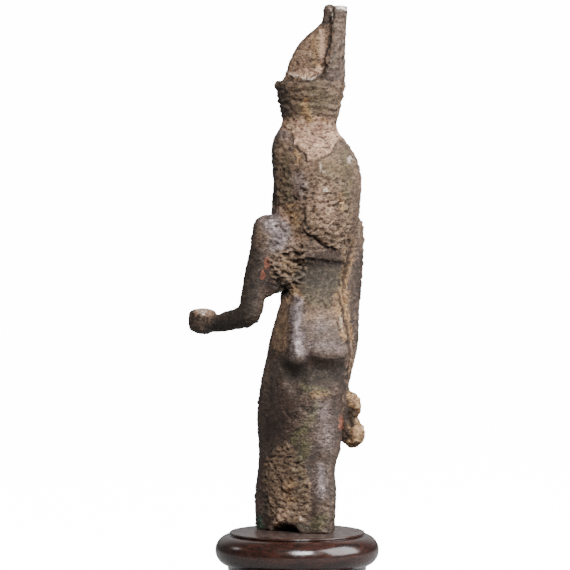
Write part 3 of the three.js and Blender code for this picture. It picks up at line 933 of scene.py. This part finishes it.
in_crown_crust = rise(within(ragged, CROWN_CRUST), -0.25, 0.3) * faces_eye
in_wig_crust = rise(within(ragged, WIG_CRUST), -0.2, 0.3) * faces_eye
in_armpit = rise(within(ragged, ARMPIT_CRUST), -1.2, 1.2) * faces_eye
in_hem_crust = rise(within(ragged, HEM_CRUST), -1.2, 1.2) * faces_eye
cracks = strokes(ragged, CRACKS) * faces_eye
on_wig = band(height, 88, 93, 131, 134) * rise(points[:, 1], 3, 6)
on_drum = band(height, 131.5, 134, 144.5, 146)
on_hand = (1 - rise(height, 43, 47)) * rise(-points[:, 0], 12.6, 13.6)
on_shoulder = strokes(spots, [(1, 4, (-8, 100), (-5, 96), (-6, 92))]) * faces_eye
fist_top = strokes(spots, [(1, 3, (-31, 70.6), (-28.6, 70.4))]) * faces_eye
far_crust = away * rise(rough(points, 15, 71) + 0.4 * rough(points, 4, 73), 0.1, 0.5)
print(f"the crusts of wig and hem hold {100 * (in_wig_crust + in_hem_crust).mean():.0f}% of the points")

# %% [markdown]
# Each kind of surface has its own pattern. Lumps are plain noise, and grains are noise stretched
# level. Strings are thin ridges where noise passes 0. Ripples are noise stretched far round the drum.
# Pits are small dips at scattered seeds. Facets are low cones about seeds with a thin ridge where two
# of them meet, as bare metal has where the crust flaked off it.

# %% The patterns of the surface
LUMP_SIZE = 2.1
GRAIN_SIZE = 1.0
RIPPLE_SIZE = 1.4
STRING_SIZE = 1.5
PIT_SPACING = 1.5
PIT_WIDTH = 0.38
FACET_SIZE = 2.6

lumps = rough(points, LUMP_SIZE, 43, 3)
warp = 0.4 * lumps[:, None]
grains = rough(points * [0.5, 0.5, 1], GRAIN_SIZE, 47, 2)
ripples = rough(points * [0.3, 0.3, 1] + warp, RIPPLE_SIZE, 53, 2)
strings = 1 - 2.6 * np.abs(rough(points * [0.5, 0.5, 1.1] + warp, STRING_SIZE, 31, 2))
pits = np.exp(-((seeds(points, PIT_SPACING, 5)[0] / PIT_WIDTH) ** 2))
nearest, second = seeds(points, FACET_SIZE, 13)
facets = 0.5 * nearest - 0.5 * np.exp(-(((second - nearest) / 0.1) ** 2))
print(f"pits take up {100 * (pits > 0.5).mean():.0f}% of the surface where they are laid")

# %% Where the surface is gritty, stringy or flaked
gritty = strokes(spots, [
    (0.3, 3.5, (-6.5, 122), (-4, 112), (-3.5, 104)),
    (0.35, 2.2, (-3, 105), (0, 98), (-2, 94)),
    (0.24, 4, (2, 116), (3, 108)),
    (0.2, 3, (2, 100), (12, 105)),
    (0.34, 2.4, (-2.5, 75.5), (1, 74.4), (7, 73.6), (12.5, 72.5)),
    (0.16, 5, (3, 81), (11, 80)),
    (0.4, 1.8, *CREVICE),
    (0.22, 3, (9, 151), (10.5, 160)),
    (0.2, 2.5, (5, 149), (-3, 148.5)),
    (0.2, 3.2, (2, 43.5), (12, 44.5)),
    (0.2, 4, (3, 40), (1, 30)),
    (0.16, 3.4, (8, 38), (9, 28)),
    (0.24, 3, (8, 3), (10, 8)),
    (0.12, 3.5, (-7.4, 98.6)),
    (0.2, 2.6, (14.4, 166), (13, 150)),
    (0.3, 2, (-4, 146.6), (6, 146.4)),
])
grit = 0.09 + faces_eye * gritty + 0.14 * on_wig + 0.1 * on_drum + 0.3 * far_crust + 0.3 * on_hand
grit += 0.28 * in_crown_crust + 0.26 * in_wig_crust + 0.26 * in_hem_crust
stringy = np.maximum.reduce([in_armpit, 0.45 * in_hem_crust, 0.3 * on_hand, 0.35 * in_wig_crust])
pitted = 0.2 * in_hem_crust + 0.25 * in_wig_crust + 0.2 * in_crown_crust + 0.6 * fist_top
flakes = sum(oval(ragged, *flake) for flake in FLAKES) * faces_eye
flake_middles = sum(oval(ragged, middle, 0.5 * w, 0.6 * h) for middle, w, h in FLAKES)
print(f"the grittiest place has {grit.max():.1f} mm of grit")

# %% Push the crusts out and the cracks in
WIG_LOBE = [(1, 2, (-4.6, 128.2), (-4.8, 126.6))]

wig_crust_edge = (1 - rise(spots[:, 1], 97, 110)) * (1 - rise(spots[:, 0], 12, 18))
push = (
    grit * (0.8 * lumps + 1.1 * grains)
    + stringy * (0.75 * strings - 0.25)
    + in_crown_crust * 0.5 * (1 - rise(spots[:, 1], 122, 131))
    + in_wig_crust * (0.35 + 0.65 * wig_crust_edge)
    + in_hem_crust * 0.3
    + faces_eye * 0.5 * strokes(spots, [(1, 0.45, *LEDGE_EDGE)])
    + faces_eye * 0.6 * strokes(spots, WIG_LOBE)
    + faces_eye * 0.25 * band(height, 146, 147, 163, 167) * lumps
    + faces_eye * 0.07 * band(height, 60, 64, 70, 78) * ripples
    + on_drum * 0.5 * ripples
    + 0.3 * flakes
    - 0.5 * flake_middles
    - 0.9 * on_shoulder * facets
    - pitted * pits
    - cracks
)
points += push[:, None] * normals
put_points(figure, points)
print(f"the crusts stand out by up to {push.max():.1f} mm, and the cracks go {-push.min():.1f} mm in")

# %% [markdown]
# ## Where each finish lies
#
# The materials need to know where the ground left what. Each kind of finish gets a number from 0 to
# 1 at every point of the mesh, a mask, painted with the same brush as the relief. Some masks carry
# painted light and shade instead: painted shade where the figure turns from the lamps, in the armpit
# and under the hips and the wig's panel, a painted sheen on the polished ridges, a painted highlight
# on the ledge's edge and on raised points, and painted shade in hollows besides the dirt there. The
# masks are attributes of the mesh, so they stay on the metal from whichever side it is seen, and the
# nodes only have to mix. On the sides that the picture doesn't show, noise lays the same kinds of
# patches.

# %% Brush strokes of colour
STROKES = {}
STROKES["crust"] = [
    (0.9, 4.4, (0, 150), (3, 156), (7, 160)),
    (0.5, 3.6, (-8, 98), (-4, 95)),
    (0.9, 4, (9, 117), (14, 114)),
    (0.8, 3, (-2.4, 113), (-1, 104), (0, 97)),
    (0.6, 3.4, (4, 69), (12, 68)),
    (0.9, 3.2, (-5, 71), (-5.4, 60)),
    (0.7, 2, (14.5, 96), (16.5, 88)),
]
STROKES["brown"] = [
    (0.9, 2.4, (14.2, 167), (13.4, 156), (12.8, 147)),
    (0.8, 3, (-6, 126), (-5, 122)),
    (0.7, 3, (-5, 70), (-5.4, 60)),
    (0.9, 5, (5, 68), (12, 66), (14, 60)),
    (0.7, 4, (8, 38), (9, 28)),
    (0.6, 3, (-9, 52), (-10, 40)),
    (0.4, 2, (17.6, 88), (17.8, 76), (17.8, 68)),
    (0.5, 3, (-10, 90), (-11, 86)),
    (0.6, 3, (8, 20), (9, 8)),
]
STROKES["pink"] = [
    (0.45, 5.5, (8, 109), (10, 99)),
    (0.5, 3.4, (-1, 150), (4, 157)),
    (1, 2.6, (-4, 131), (2, 130.5), (8, 129), (12, 128)),
    (0.9, 1.2, (8.2, 161), (8.2, 155), (8, 150)),
    (0.9, 1.2, (-8, 147.8), (-3.4, 147.8), (1, 147.2), (6, 147.6), (8, 150)),
    (0.9, 0.9, (-8.6, 104.5), (-5.5, 103.6), (-2.4, 100.4), (-0.8, 97)),
    (0.7, 2, (0, 96), (-1, 93.5)),
    (0.8, 2.2, (-31.5, 71), (-28, 70.6)),
    (0.4, 2.4, (-4.6, 128)),
    (0.8, 1, (-7, 2.8), (-3.5, 5.6)),
    (0.6, 1, (17, 61), (17.5, 52)),
    (0.6, 3, (-3.5, 7), (-5, 4.6)),
]
# Pale chips in the crust, and a painted highlight along the edge of the crown's ledge.
STROKES["pale"] = [
    (1, 0.7, (12.8, 169.1), (16.2, 168.6)),
    (0.45, 0.6, (10.8, 168.6), (11, 165.4)),
    (0.62, 0.3, *LEDGE_EDGE),
    (0.5, 0.3, (-7.6, 147.6), (-3.9, 148)),
    (0.9, 0.6, (9.2, 110)),
    (1, 0.8, (17.3, 120), (16.9, 119.4)),
    (0.5, 0.5, (7.4, 118.6), (8.2, 116)),
    (0.5, 0.4, (1, 4.6), (1.4, 3.6)),
    (0.55, 1.8, (-30.4, 71)),
    (0.4, 0.7, (14.2, 69), (14.8, 65)),
]
STROKES["ochre"] = [
    (0.9, 1.4, (2.6, 138.6), (2.6, 135.4), (4, 133)),
    (0.7, 1, (7.5, 132.6), (9.4, 132)),
    (0.9, 1.1, (-0.2, 122), (0.6, 119.6)),
    (0.6, 1.6, (5.6, 158), (6.4, 152), (6.6, 150)),
    (0.7, 2, (-2.2, 104), (-0.8, 99.6), (-1, 96.8)),
    (0.7, 1, (14, 108), (14.6, 103)),
    (0.45, 3.6, (-4, 89), (-2.5, 85)),
    (0.8, 1.8, (-1.2, 78), (0.6, 75.4), (-3, 75.4)),
    (1, 1.5, *CREVICE[1:6]),
    (1, 2.2, (14.4, 76), (14.4, 71)),
    (0.8, 1.3, (14.4, 66.4), (15.6, 62)),
    (0.7, 2.2, (-2.6, 15), (-2.4, 11)),
    (0.5, 2, (5.6, 43.4), (9, 43.6)),
]
STROKES["olive"] = [
    (0.5, 2.2, (-3.6, 120), (-3, 114), (-2.8, 106)),
    (0.6, 2.4, (15.2, 122), (16.4, 114), (15.4, 106)),
    (0.5, 3.4, (9.5, 117), (12, 114)),
    (0.8, 4.8, (3, 81), (11, 80.5)),
    (0.6, 2.4, (2, 75.4), (10, 73.4)),
    (0.9, 1.7, (2.4, 46), (8.6, 45)),
    (0.9, 1.6, (6.6, 40), (3, 33.6), (-1, 29)),
    (0.9, 2.2, (2.6, 28), (1.6, 23.6)),
    (0.8, 2.6, (8, 3.4), (6, 2)),
    (0.5, 3.6, (3, 136), (10, 139), (5, 143)),
    (0.6, 2, (6, 50), (12, 50)),
    (0.4, 2.4, (0, 20), (2, 12)),
    (0.5, 1.5, (6, 156), (5.8, 150.6)),
]
# Painted shade: on the arms and the wig's left strip, which turn away from the lamps, on the crown's left
# side, in a line under the drum's rim, in the armpit's hole, under the hips, under the wig's panel and in
# the hollow of the hand. On the small of the back it is dark earth as well as painted shade, and low on the
# dress it gives darker streaks.
STROKES["dark"] = [
    (0.8, 3.4, (-13.6, 88), (-14.4, 80), (-15, 74)),
    (0.9, 3.4, (-15.4, 72), (-20, 67), (-25, 66)),
    (0.9, 3.4, (-4, 52), (3, 50), (13, 51)),
    (1, 2.4, (-6, 80), (-4, 77)),
    (0.9, 1.7, (-8, 124), (-8.4, 116), (-8, 106)),
    (0.7, 3, (-5, 142), (-4, 135)),
    (0.8, 0.5, (-7, 144.8), (0, 144.6), (6, 144.9)),
    (0.8, 4.4, (2.4, 81.6), (10, 80.8)),
    (0.8, 1, (4, 86.2), (10, 85.2), (14, 85)),
    (0.5, 3, (-10, 45), (-9, 30)),
    (0.5, 2, (12, 17), (12, 8)),
    (0.7, 1.4, (-10.5, 12), (-10, 5)),
    (0.5, 1.6, (16.8, 39), (17, 35)),
]
STROKES["teal"] = [
    (0.75, 1.5, (-12, 4.6), (-11.6, 1)),
    (0.4, 0.9, (0, 1.4), (3, 1.2)),
]
# Polished ridges. Their light grey-lavender colour is also a painted sheen where highlights fall on the
# hip's ridge, the buttock, the shoulder, the calf and the wig.
STROKES["polish"] = [
    (1, 2, (0, 74), (-0.2, 66), (0.4, 58)),
    (0.3, 2.4, (5, 60), (10, 59.6), (15, 59)),
    (1, 3.8, (-8, 99.6), (-5, 96), (-6, 93.6)),
    (0.7, 1.9, (8, 20), (8.4, 12)),
    (0.4, 3, (8.5, 40), (9.6, 28)),
    (0.5, 2.6, (0.6, 114), (1.4, 110)),
    (0.4, 4, (8, 66)),
    (0.5, 1.6, (-5, 127.6), (-4, 128)),
]
print(f"{sum(len(rows) for rows in STROKES.values())} strokes of {len(STROKES)} finishes")

# %% Masks for the finish
normals = normals_of(figure)
spots = seen(points)
faces_eye = rise(normals @ TOWARD_EYE, -0.25, 0.15)
away = 1 - faces_eye
soft = spots + 1.1 * np.column_stack([rough(points, 3, 61), rough(points, 3, 67)])
fine_hollow = ((relax(points, 0.6, 3) - points) * normals).sum(1)
broad_hollow = ((relax(points, 0.6, 25) - points) * normals).sum(1)
patches = rough(points, 12, 83)

masks = {
    "brown": 0.7 * on_wig + 0.5 * on_drum + 0.2 + 0.4 * patches,
    "crust": 1.4 * in_wig_crust + 0.8 * in_hem_crust + 1.2 * in_armpit + 0.55 * on_drum
        + 0.4 * on_wig + 1.6 * faces_eye * gritty + 0.9 * far_crust,
    "pink": 1.3 * in_crown_crust + away * rise(patches, 0.45, 0.8),
    "ochre": 0.8 * on_hand + 0.8 * away * rise(broad_hollow, 0.12, 0.5),
    "olive": 0.8 * away * rise(rough(points, 9, 89), 0.2, 0.7),
    "teal": away * rise(rough(points, 7, 97), 0.7, 0.95),
    "copper": rise(flakes, 0.1, 0.3),
    "polish": 0.8 * away * rise(-broad_hollow, 0.15, 0.5),
    # raised: a painted highlight on raised points and on the tops of the strings
    "raised": np.maximum(0.5 * rise(-fine_hollow, 0.03, 0.12), stringy * rise(strings, 0.6, 0.95)),
    # dirt in pits and cracks, and painted shade in hollows, creases and between the strings
    "cavity": 0.7 * rise(fine_hollow, 0.04, 0.16) + 0.5 * rise(broad_hollow, 0.3, 0.9)
        + 0.9 * rise(cracks, 0.2, 0.6) * (in_armpit < 0.5) + 0.8 * stringy * rise(-strings, -0.3, 0.2),
    "grit": 2.2 * grit + in_armpit,
}
for name, rows in STROKES.items():
    painted = strokes(ragged if name == "pale" else soft, rows)
    masks[name] = masks.get(name, 0) + faces_eye * painted
for name, mask in masks.items():
    layer = figure.data.attributes.new(name, "FLOAT", "POINT")
    layer.data.foreach_set("value", np.clip(mask, 0, 1).astype(np.float32))
    print(f"{name} covers {100 * np.clip(mask, 0, 1).mean():.0f}%")

# %% [markdown]
# ## Nodes, written briefly
#
# A material is a network of nodes. A few helpers keep its script short: each makes one node, plugs
# in what it is given, a number, a colour or another node's output, and returns its own output.

# %% Helpers for nodes
class Nodes:
    """The node tree of a material or a group, with short ways to add nodes to it."""

    def __init__(self, tree):
        self.tree = tree

    def plug(self, socket, value):
        if isinstance(value, bpy.types.NodeSocket):
            self.tree.links.new(value, socket)
        else:
            socket.default_value = value

    def add(self, kind, inputs, output=0, **settings):
        """A node with its settings and its inputs, which are named or counted from 0."""
        node = self.tree.nodes.new(kind)
        for name, value in settings.items():
            setattr(node, name, value)
        for name, value in inputs.items():
            self.plug(node.inputs[name], value)
        return node.outputs[output]

    def mask(self, name):
        return self.add("ShaderNodeAttribute", {}, "Fac", attribute_name=name)

    def math(self, operation, a, b=0.0):
        return self.add("ShaderNodeMath", {0: a, 1: b}, operation=operation)

    def times(self, a, b):
        return self.math("MULTIPLY", a, b)

    def larger(self, a, b):
        return self.math("MAXIMUM", a, b)

    def minus(self, a, b):
        return self.math("SUBTRACT", a, b)

    def mix(self, share, a, b, way="MIX"):
        """The colour a where share is 0 and the colour b where it is 1, or a times b there."""
        inputs = {0: share, 6: a, 7: b}
        return self.add("ShaderNodeMix", inputs, 2, data_type="RGBA", blend_type=way)

    def blend(self, share, a, b):
        """The number a where share is 0 and the number b where it is 1."""
        return self.add("ShaderNodeMix", {0: share, 2: a, 3: b}, 0, data_type="FLOAT")

    def between(self, value, low, high):
        """0 below low, 1 above high, and smooth in between."""
        inputs = {"Value": value, "From Min": low, "From Max": high}
        return self.add("ShaderNodeMapRange", inputs, interpolation_type="SMOOTHSTEP")

    def place(self):
        return self.add("ShaderNodeTexCoord", {}, "Object")

    def stretched(self, scale):
        """The place, with its axes scaled."""
        return self.add("ShaderNodeMapping", {"Vector": self.place(), "Scale": scale}, "Vector")

    def noise(self, size, detail=4.0, roughness=0.6, vector=None, distortion=0.0):
        """Noise with lumps of a size in millimetres, from 0 to 1."""
        inputs = {
            "Vector": vector or self.place(), "Scale": 1 / (size * MM), "Detail": detail,
            "Roughness": roughness, "Distortion": distortion,
        }
        return self.add("ShaderNodeTexNoise", inputs, "Fac")

    def bump(self, height, distance, strength=1.0):
        """The normal of a surface with a relief of up to a distance in millimetres."""
        inputs = {"Height": height, "Distance": distance * MM, "Strength": strength}
        return self.add("ShaderNodeBump", inputs, "Normal")


def mask_group(name, inputs):
    """A new node group with named number inputs and one output, a mask."""
    tree = bpy.data.node_groups.new(name, "ShaderNodeTree")
    for label, value in inputs.items():
        socket = tree.interface.new_socket(label, in_out="INPUT", socket_type="NodeSocketFloat")
        socket.default_value = value
    tree.interface.new_socket("Mask", in_out="OUTPUT", socket_type="NodeSocketFloat")
    given = tree.nodes.new("NodeGroupInput").outputs
    return tree, Nodes(tree), given, tree.nodes.new("NodeGroupOutput").inputs["Mask"]


def use(nodes, tree, values):
    """Places a group in a material with its own values, and gives its mask."""
    node = nodes.tree.nodes.new("ShaderNodeGroup")
    node.node_tree = tree
    for label, value in values.items():
        nodes.plug(node.inputs[label], value)
    return node.outputs["Mask"]


def material(name):
    """A new material, its nodes and its Principled shader."""
    made = bpy.data.materials.new(name)
    made.use_nodes = True
    return made, Nodes(made.node_tree), made.node_tree.nodes["Principled BSDF"]


# %% [markdown]
# ## Effects that bronze and wood share
#
# Both are mottled, and both hold grains of dust. Each effect is a node group, built once. It puts
# out a mask, and each material decides what to do with it.

# %% Node groups
def mottle_group():
    """Soft patches: noise, spread between a low and a high value."""
    tree, n, given, mask = mask_group("mottle", {"Scale": 200.0, "Low": 0.4, "High": 0.6})
    clouds = n.add("ShaderNodeTexNoise", {
        "Vector": n.place(), "Scale": given["Scale"], "Detail": 5.0, "Roughness": 0.62,
    }, "Fac")
    n.plug(mask, n.between(clouds, given["Low"], given["High"]))
    return tree


def grains_group():
    """Round specks at scattered seeds, larger where a broader noise is high."""
    tree, n, given, mask = mask_group("grains", {"Scale": 900.0, "Amount": 0.3})
    cell = n.add("ShaderNodeTexVoronoi", {
        "Vector": n.place(), "Scale": given["Scale"], "Randomness": 1.0,
    }, "Distance")
    chance = n.add("ShaderNodeTexNoise", {
        "Vector": n.place(), "Scale": n.times(given["Scale"], 0.23), "Detail": 2.0,
    }, "Fac")
    limit = n.times(n.times(chance, given["Amount"]), 1.6)
    n.plug(mask, n.minus(1.0, n.between(cell, 0.0, limit)))
    return tree


MOTTLE = mottle_group()
GRAINS = grains_group()


def mottle(nodes, size, low, high):
    return use(nodes, MOTTLE, {"Scale": 1 / (size * MM), "Low": low, "High": high})


def grains_of_dust(nodes, size, amount):
    return use(nodes, GRAINS, {"Scale": 1 / (size * MM), "Amount": amount})


print(f"{len(bpy.data.node_groups)} effects are shared")

# %% [markdown]
# ## The bronze
#
# Old bronze is a stack of layers: dark metal with a brown skin, olive and green salts, brown and
# pinkish crusts, ochre earth, and the red of bare copper where a flake has come off. The nodes lay
# them on in that order, each through its mask, and every mask is first broken up by noise, so that no
# layer has a clean edge. Three layers carry painted light and shade: a dark one of painted shade, with
# dark earth on the small of the back, the polish, whose light colour is also a painted sheen, and the
# pale one, which holds chips and a painted highlight along the ledge. The noise that makes the small
# relief also paints shade and light into the colour, darker in its low places and lighter on its
# high ones. Raised points get a painted highlight, and hollows get dirt and painted shade. Skin and
# bare metal shine a little, and crusts don't.

# %% The layers of the bronze
BARE = [(0.028, 0.0165, 0.0115, 1), (0.052, 0.031, 0.022, 1)]
# The shade and light that the small relief paints into the colour: darker below, lighter above.
RELIEF_SHADE_AND_LIGHT = [(0.3, 0.27, 0.25, 1), (1.75, 1.7, 1.62, 1)]
# Pale tan for specks of dust and for a painted highlight on raised points.
DUST_AND_HIGHLIGHT_TAN = (0.42, 0.33, 0.25, 1)
# The dark of dirt in pits and cracks and of painted shade in hollows and creases.
DIRT_AND_SHADE_DARK = (0.014, 0.009, 0.007, 1)
LAYERS = [
    ("brown", (0.045, 0.029, 0.021), (0.1, 0.067, 0.05), 1.6, 0.4),
    ("crust", (0.095, 0.058, 0.035), (0.19, 0.122, 0.077), 1.2, 0.3),
    ("olive", (0.04, 0.035, 0.016), (0.09, 0.076, 0.036), 2.0, 0.4),
    ("pink", (0.24, 0.14, 0.094), (0.43, 0.285, 0.197), 1.2, 0.3),
    ("ochre", (0.15, 0.078, 0.033), (0.34, 0.215, 0.105), 1.6, 0.3),
    # painted shade, with dark earth on the small of the back
    ("dark", (0.016, 0.011, 0.008), (0.034, 0.024, 0.0165), 1.2, 0.45),
    ("teal", (0.014, 0.04, 0.028), (0.045, 0.078, 0.052), 0.8, 0.4),
    ("copper", (0.09, 0.026, 0.014), (0.21, 0.072, 0.04), 1.2, 0.3),
    # polish, whose light colour is also a painted sheen
    ("polish", (0.12, 0.095, 0.095), (0.24, 0.2, 0.205), 1.4, 0.5),
    # pale chips, and a painted highlight on the ledge's edge
    ("pale", (0.4, 0.33, 0.28), (0.74, 0.67, 0.6), 2.0, 0.3),
]


def bronze_relief(n):
    """Small relief from 0 to 1: fine streaks over grains, which turn into thin ridges where there is
    grit. A ridge is 1 - 7 |noise - 0.5|, and 0 where that is below 0."""
    flat = n.stretched((0.5, 0.5, 1.0))
    grainy = n.noise(1.0, 4.0, 0.6, flat, 0.6)
    streaky = n.noise(0.36, 3.0, 0.65, flat, 0.4)
    off_middle = n.math("ABSOLUTE", n.minus(grainy, 0.5))
    wiry = n.minus(1.0, n.math("MINIMUM", n.times(off_middle, 7.0), 1.0))
    return n.blend(0.62, n.blend(n.times(n.mask("grit"), 0.35), grainy, wiry), streaky)


def bronze_colour(n, relief):
    """The layers, one over the other. A row of LAYERS is a mask, two shades, how much the relief
    breaks the mask up, and how soft its edge is: it shows where mask plus relief passes a half."""
    shade = n.between(n.noise(2.4, 6.0, 0.62), 0.36, 0.62)
    colour = n.mix(mottle(n, 5, 0.42, 0.6), *BARE)
    for name, low, high, amount, soft in LAYERS:
        broken = n.math("ADD", n.mask(name), n.times(n.minus(relief, 0.5), amount))
        shows = n.between(broken, 0.5 - soft, 0.5 + soft)
        colour = n.mix(shows, colour, n.mix(shade, (*low, 1), (*high, 1)))
    # Painted shade and light from the small relief: the colour is multiplied darker in its low places and
    # lighter on its high ones, half as much where polished.
    relief_shade_share = n.blend(n.mask("polish"), n.blend(n.mask("grit"), 0.8, 1.0), 0.5)
    painted_relief_shade = n.mix(n.between(relief, 0.36, 0.64), *RELIEF_SHADE_AND_LIGHT)
    colour = n.mix(relief_shade_share, colour, painted_relief_shade, "MULTIPLY")
    # Pale specks of dust, and a painted highlight on raised points and the tops of strings.
    specks = n.times(grains_of_dust(n, 1.5, 0.13), 0.4)
    colour = n.mix(n.larger(specks, n.times(n.mask("raised"), 0.4)), colour, DUST_AND_HIGHLIGHT_TAN)
    # Dirt in pits and cracks, and painted shade in hollows, creases and between strings.
    return n.mix(n.times(n.mask("cavity"), 0.85), colour, DIRT_AND_SHADE_DARK)


print(f"{len(LAYERS)} layers lie over the bare bronze")


# %% The bronze's material
def bronze():
    made, n, shader = material("corroded-bronze")
    relief = bronze_relief(n)
    n.plug(shader.inputs["Base Color"], bronze_colour(n, relief))

    polish = n.mask("polish")
    crusted = n.larger(n.larger(n.mask("crust"), n.mask("dark")), n.larger(n.mask("pink"), n.mask("ochre")))
    matt = n.times(crusted, n.minus(1.0, polish))
    dull = n.blend(polish, n.blend(matt, 0.5, 0.8), 0.3)
    uneven = n.times(n.minus(relief, 0.5), 0.3)
    n.plug(shader.inputs["Roughness"], n.math("ADD", dull, uneven))
    n.plug(shader.inputs["Metallic"], n.blend(polish, 0.1, 0.6))
    depth = n.times(n.blend(n.mask("grit"), 0.6, 1.0), n.blend(polish, 1.0, 0.4))
    n.plug(shader.inputs["Normal"], n.bump(n.times(relief, depth), 0.9))
    shader.inputs["Specular IOR Level"].default_value = 0.4
    return made

# %% [markdown]
# ## The wood
#
# The stand's wood is stained so dark that the grain hardly shows, and its polish is what the eye
# sees: sharp reflections with a few scratches and specks of dust. The stain is a dark reddish brown
# with darker streaks, and a clear coat lies over it. Dust lies on the flat top, and dulls it.

# %% The wood's material
STAIN = [(0.012, 0.006, 0.005, 1), (0.05, 0.017, 0.011, 1)]
WORN_STAIN = (0.03, 0.012, 0.009, 1)
SPECK = (0.35, 0.3, 0.27, 1)
DUST = (0.13, 0.1, 0.09, 1)


def stained_wood():
    made, n, shader = material("stained-wood")
    grain = n.noise(6, 5.0, 0.6, n.stretched((1.0, 1.0, 6.0)), 1.5)
    colour = n.mix(n.between(grain, 0.35, 0.7), *STAIN)
    colour = n.mix(mottle(n, 9, 0.5, 0.75), colour, WORN_STAIN)
    colour = n.mix(n.times(grains_of_dust(n, 1.1, 0.12), 0.35), colour, SPECK)
    dusty = n.times(n.mask("dusty"), mottle(n, 1.6, 0.35, 0.75))
    n.plug(shader.inputs["Base Color"], n.mix(dusty, colour, DUST))
    smear = n.between(n.noise(3.5, 6.0, 0.7), 0.45, 0.75)
    n.plug(shader.inputs["Roughness"], n.blend(n.mask("dusty"), n.blend(smear, 0.2, 0.32), 0.4))
    relief = n.math("ADD", n.noise(0.9, 3.0), n.times(n.noise(5.0, 2.0), 2.0))
    n.plug(shader.inputs["Normal"], n.bump(relief, 0.03, 0.6))
    shader.inputs["Coat Weight"].default_value = 0.3
    shader.inputs["Coat Roughness"].default_value = 0.15
    return made


stand_height = points_of(stand)[:, 2]
on_top = rise(stand_height, -0.3, -0.05).astype(np.float32)
stand.data.attributes.new("dusty", "FLOAT", "POINT").data.foreach_set("value", on_top)
for piece, finish in ((figure, bronze()), (stand, stained_wood())):
    piece.data.materials.clear()
    piece.data.materials.append(finish)
    piece.data.shade_smooth()
    print(f"{piece.name} is finished as {finish.name}")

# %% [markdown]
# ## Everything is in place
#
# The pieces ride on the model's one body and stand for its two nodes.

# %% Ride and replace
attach(figure, "root")
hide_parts("statuette")
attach(stand, "root")
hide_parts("stand")

# %% [markdown]
# ## The studio
#
# The floor of the studio runs up into its wall in one sweep, pale all round, so that no line shows
# behind the figure from any side. The eye sees white paper, but what the figure reflects of it is
# much darker, or the polished places would drown in light. The main lamp hangs high behind the eye.
# A broad one far to the right lights the faces that look that way, and a weak one stands to the left.

# %% The paper of the studio
SWEEP_RADIUS = 2000.0
WALL_HEIGHT = 4500.0
FLOOR_DROP = 0.5
PAPER_GLOW = 15.0


def paper():
    """Glowing white to the camera. To other rays it is grey, and glows only beyond the figure."""
    made, n, shader = material("paper")
    seen_directly = n.add("ShaderNodeLightPath", {}, "Is Camera Ray")
    beyond = n.add("ShaderNodeVectorMath", {
        0: n.place(), 1: (-TOWARD_EYE[0], -TOWARD_EYE[1], 0),
    }, "Value", operation="DOT_PRODUCT")
    glow = n.blend(n.between(beyond, 2.4, 4.0), 0.05, 0.5)
    colour = n.mix(seen_directly, (0.3, 0.3, 0.3, 1), (0.85, 0.85, 0.85, 1))
    n.plug(shader.inputs["Base Color"], colour)
    n.plug(shader.inputs["Emission Strength"], n.blend(seen_directly, glow, PAPER_GLOW))
    shader.inputs["Emission Color"].default_value = (1, 1, 1, 1)
    shader.inputs["Roughness"].default_value = 0.9
    return made


sweep_profile = np.vstack([
    [[1, -FLOOR_DROP]],
    [[SWEEP_RADIUS, -FLOOR_DROP]],
    arc(SWEEP_RADIUS, SWEEP_RADIUS - FLOOR_DROP, SWEEP_RADIUS, -90, 0, 40),
    [[2 * SWEEP_RADIUS, WALL_HEIGHT]],
])
sweep_grid = around(sweep_profile, 96)
number = np.arange(sweep_grid[..., 0].size).reshape(sweep_grid.shape[:2])
beside = np.roll(number, -1, axis=1)
quads = np.stack([number[:-1], number[1:], beside[1:], beside[:-1]], -1).reshape(-1, 4)
sweep_mesh = bpy.data.meshes.new("studio")
sweep_mesh.from_pydata((sweep_grid.reshape(-1, 3) * MM).tolist(), [], quads.tolist())
sweep_mesh.shade_smooth()
sweep_mesh.materials.append(paper())
sweep = bpy.data.objects.new("studio", sweep_mesh)
bpy.context.scene.collection.objects.link(sweep)
sweep.visible_diffuse = False
print(f"the paper has {len(quads)} faces")

# %% The lamps
def softbox(name, right, up, away, side, watts):
    """A square lamp aimed at the middle of the figure. Its direction is an angle to the right of the
    eye's and an angle above the level, in degrees, and its distance and side are in millimetres."""
    turn, lift = math.radians(right), math.radians(up)
    level = math.cos(turn) * LEVEL_TOWARD_EYE + math.sin(turn) * TO_THE_RIGHT
    back = math.cos(lift) * level + math.sin(lift) * np.array([0, 0, 1])
    back /= np.linalg.norm(back)
    place = np.array([0, 0, VIEW_HEIGHT]) + away * back
    lamp = bpy.data.lights.new(name, "AREA")
    lamp.shape = "SQUARE"
    lamp.size = side * MM
    lamp.energy = watts
    made = bpy.data.objects.new(name, lamp)
    bpy.context.scene.collection.objects.link(made)
    side_way = np.cross([0, 0, 1], back)
    side_way /= np.linalg.norm(side_way)
    made.matrix_world = facing(side_way, np.cross(back, side_way), back, place)


softbox("key", 9, 36, 1000, 400, 18)
softbox("right", 74, 30, 900, 760, 17)
softbox("left", -107, 25, 1100, 200, 0.5)

world = bpy.data.worlds.new("world")
bpy.context.scene.world = world
world.use_nodes = True
world.node_tree.nodes["Background"].inputs["Color"].default_value = (1, 1, 1, 1)
world.node_tree.nodes["Background"].inputs["Strength"].default_value = 0.12
print(f"{len(bpy.data.lights)} lamps and a dim sky light the figure")
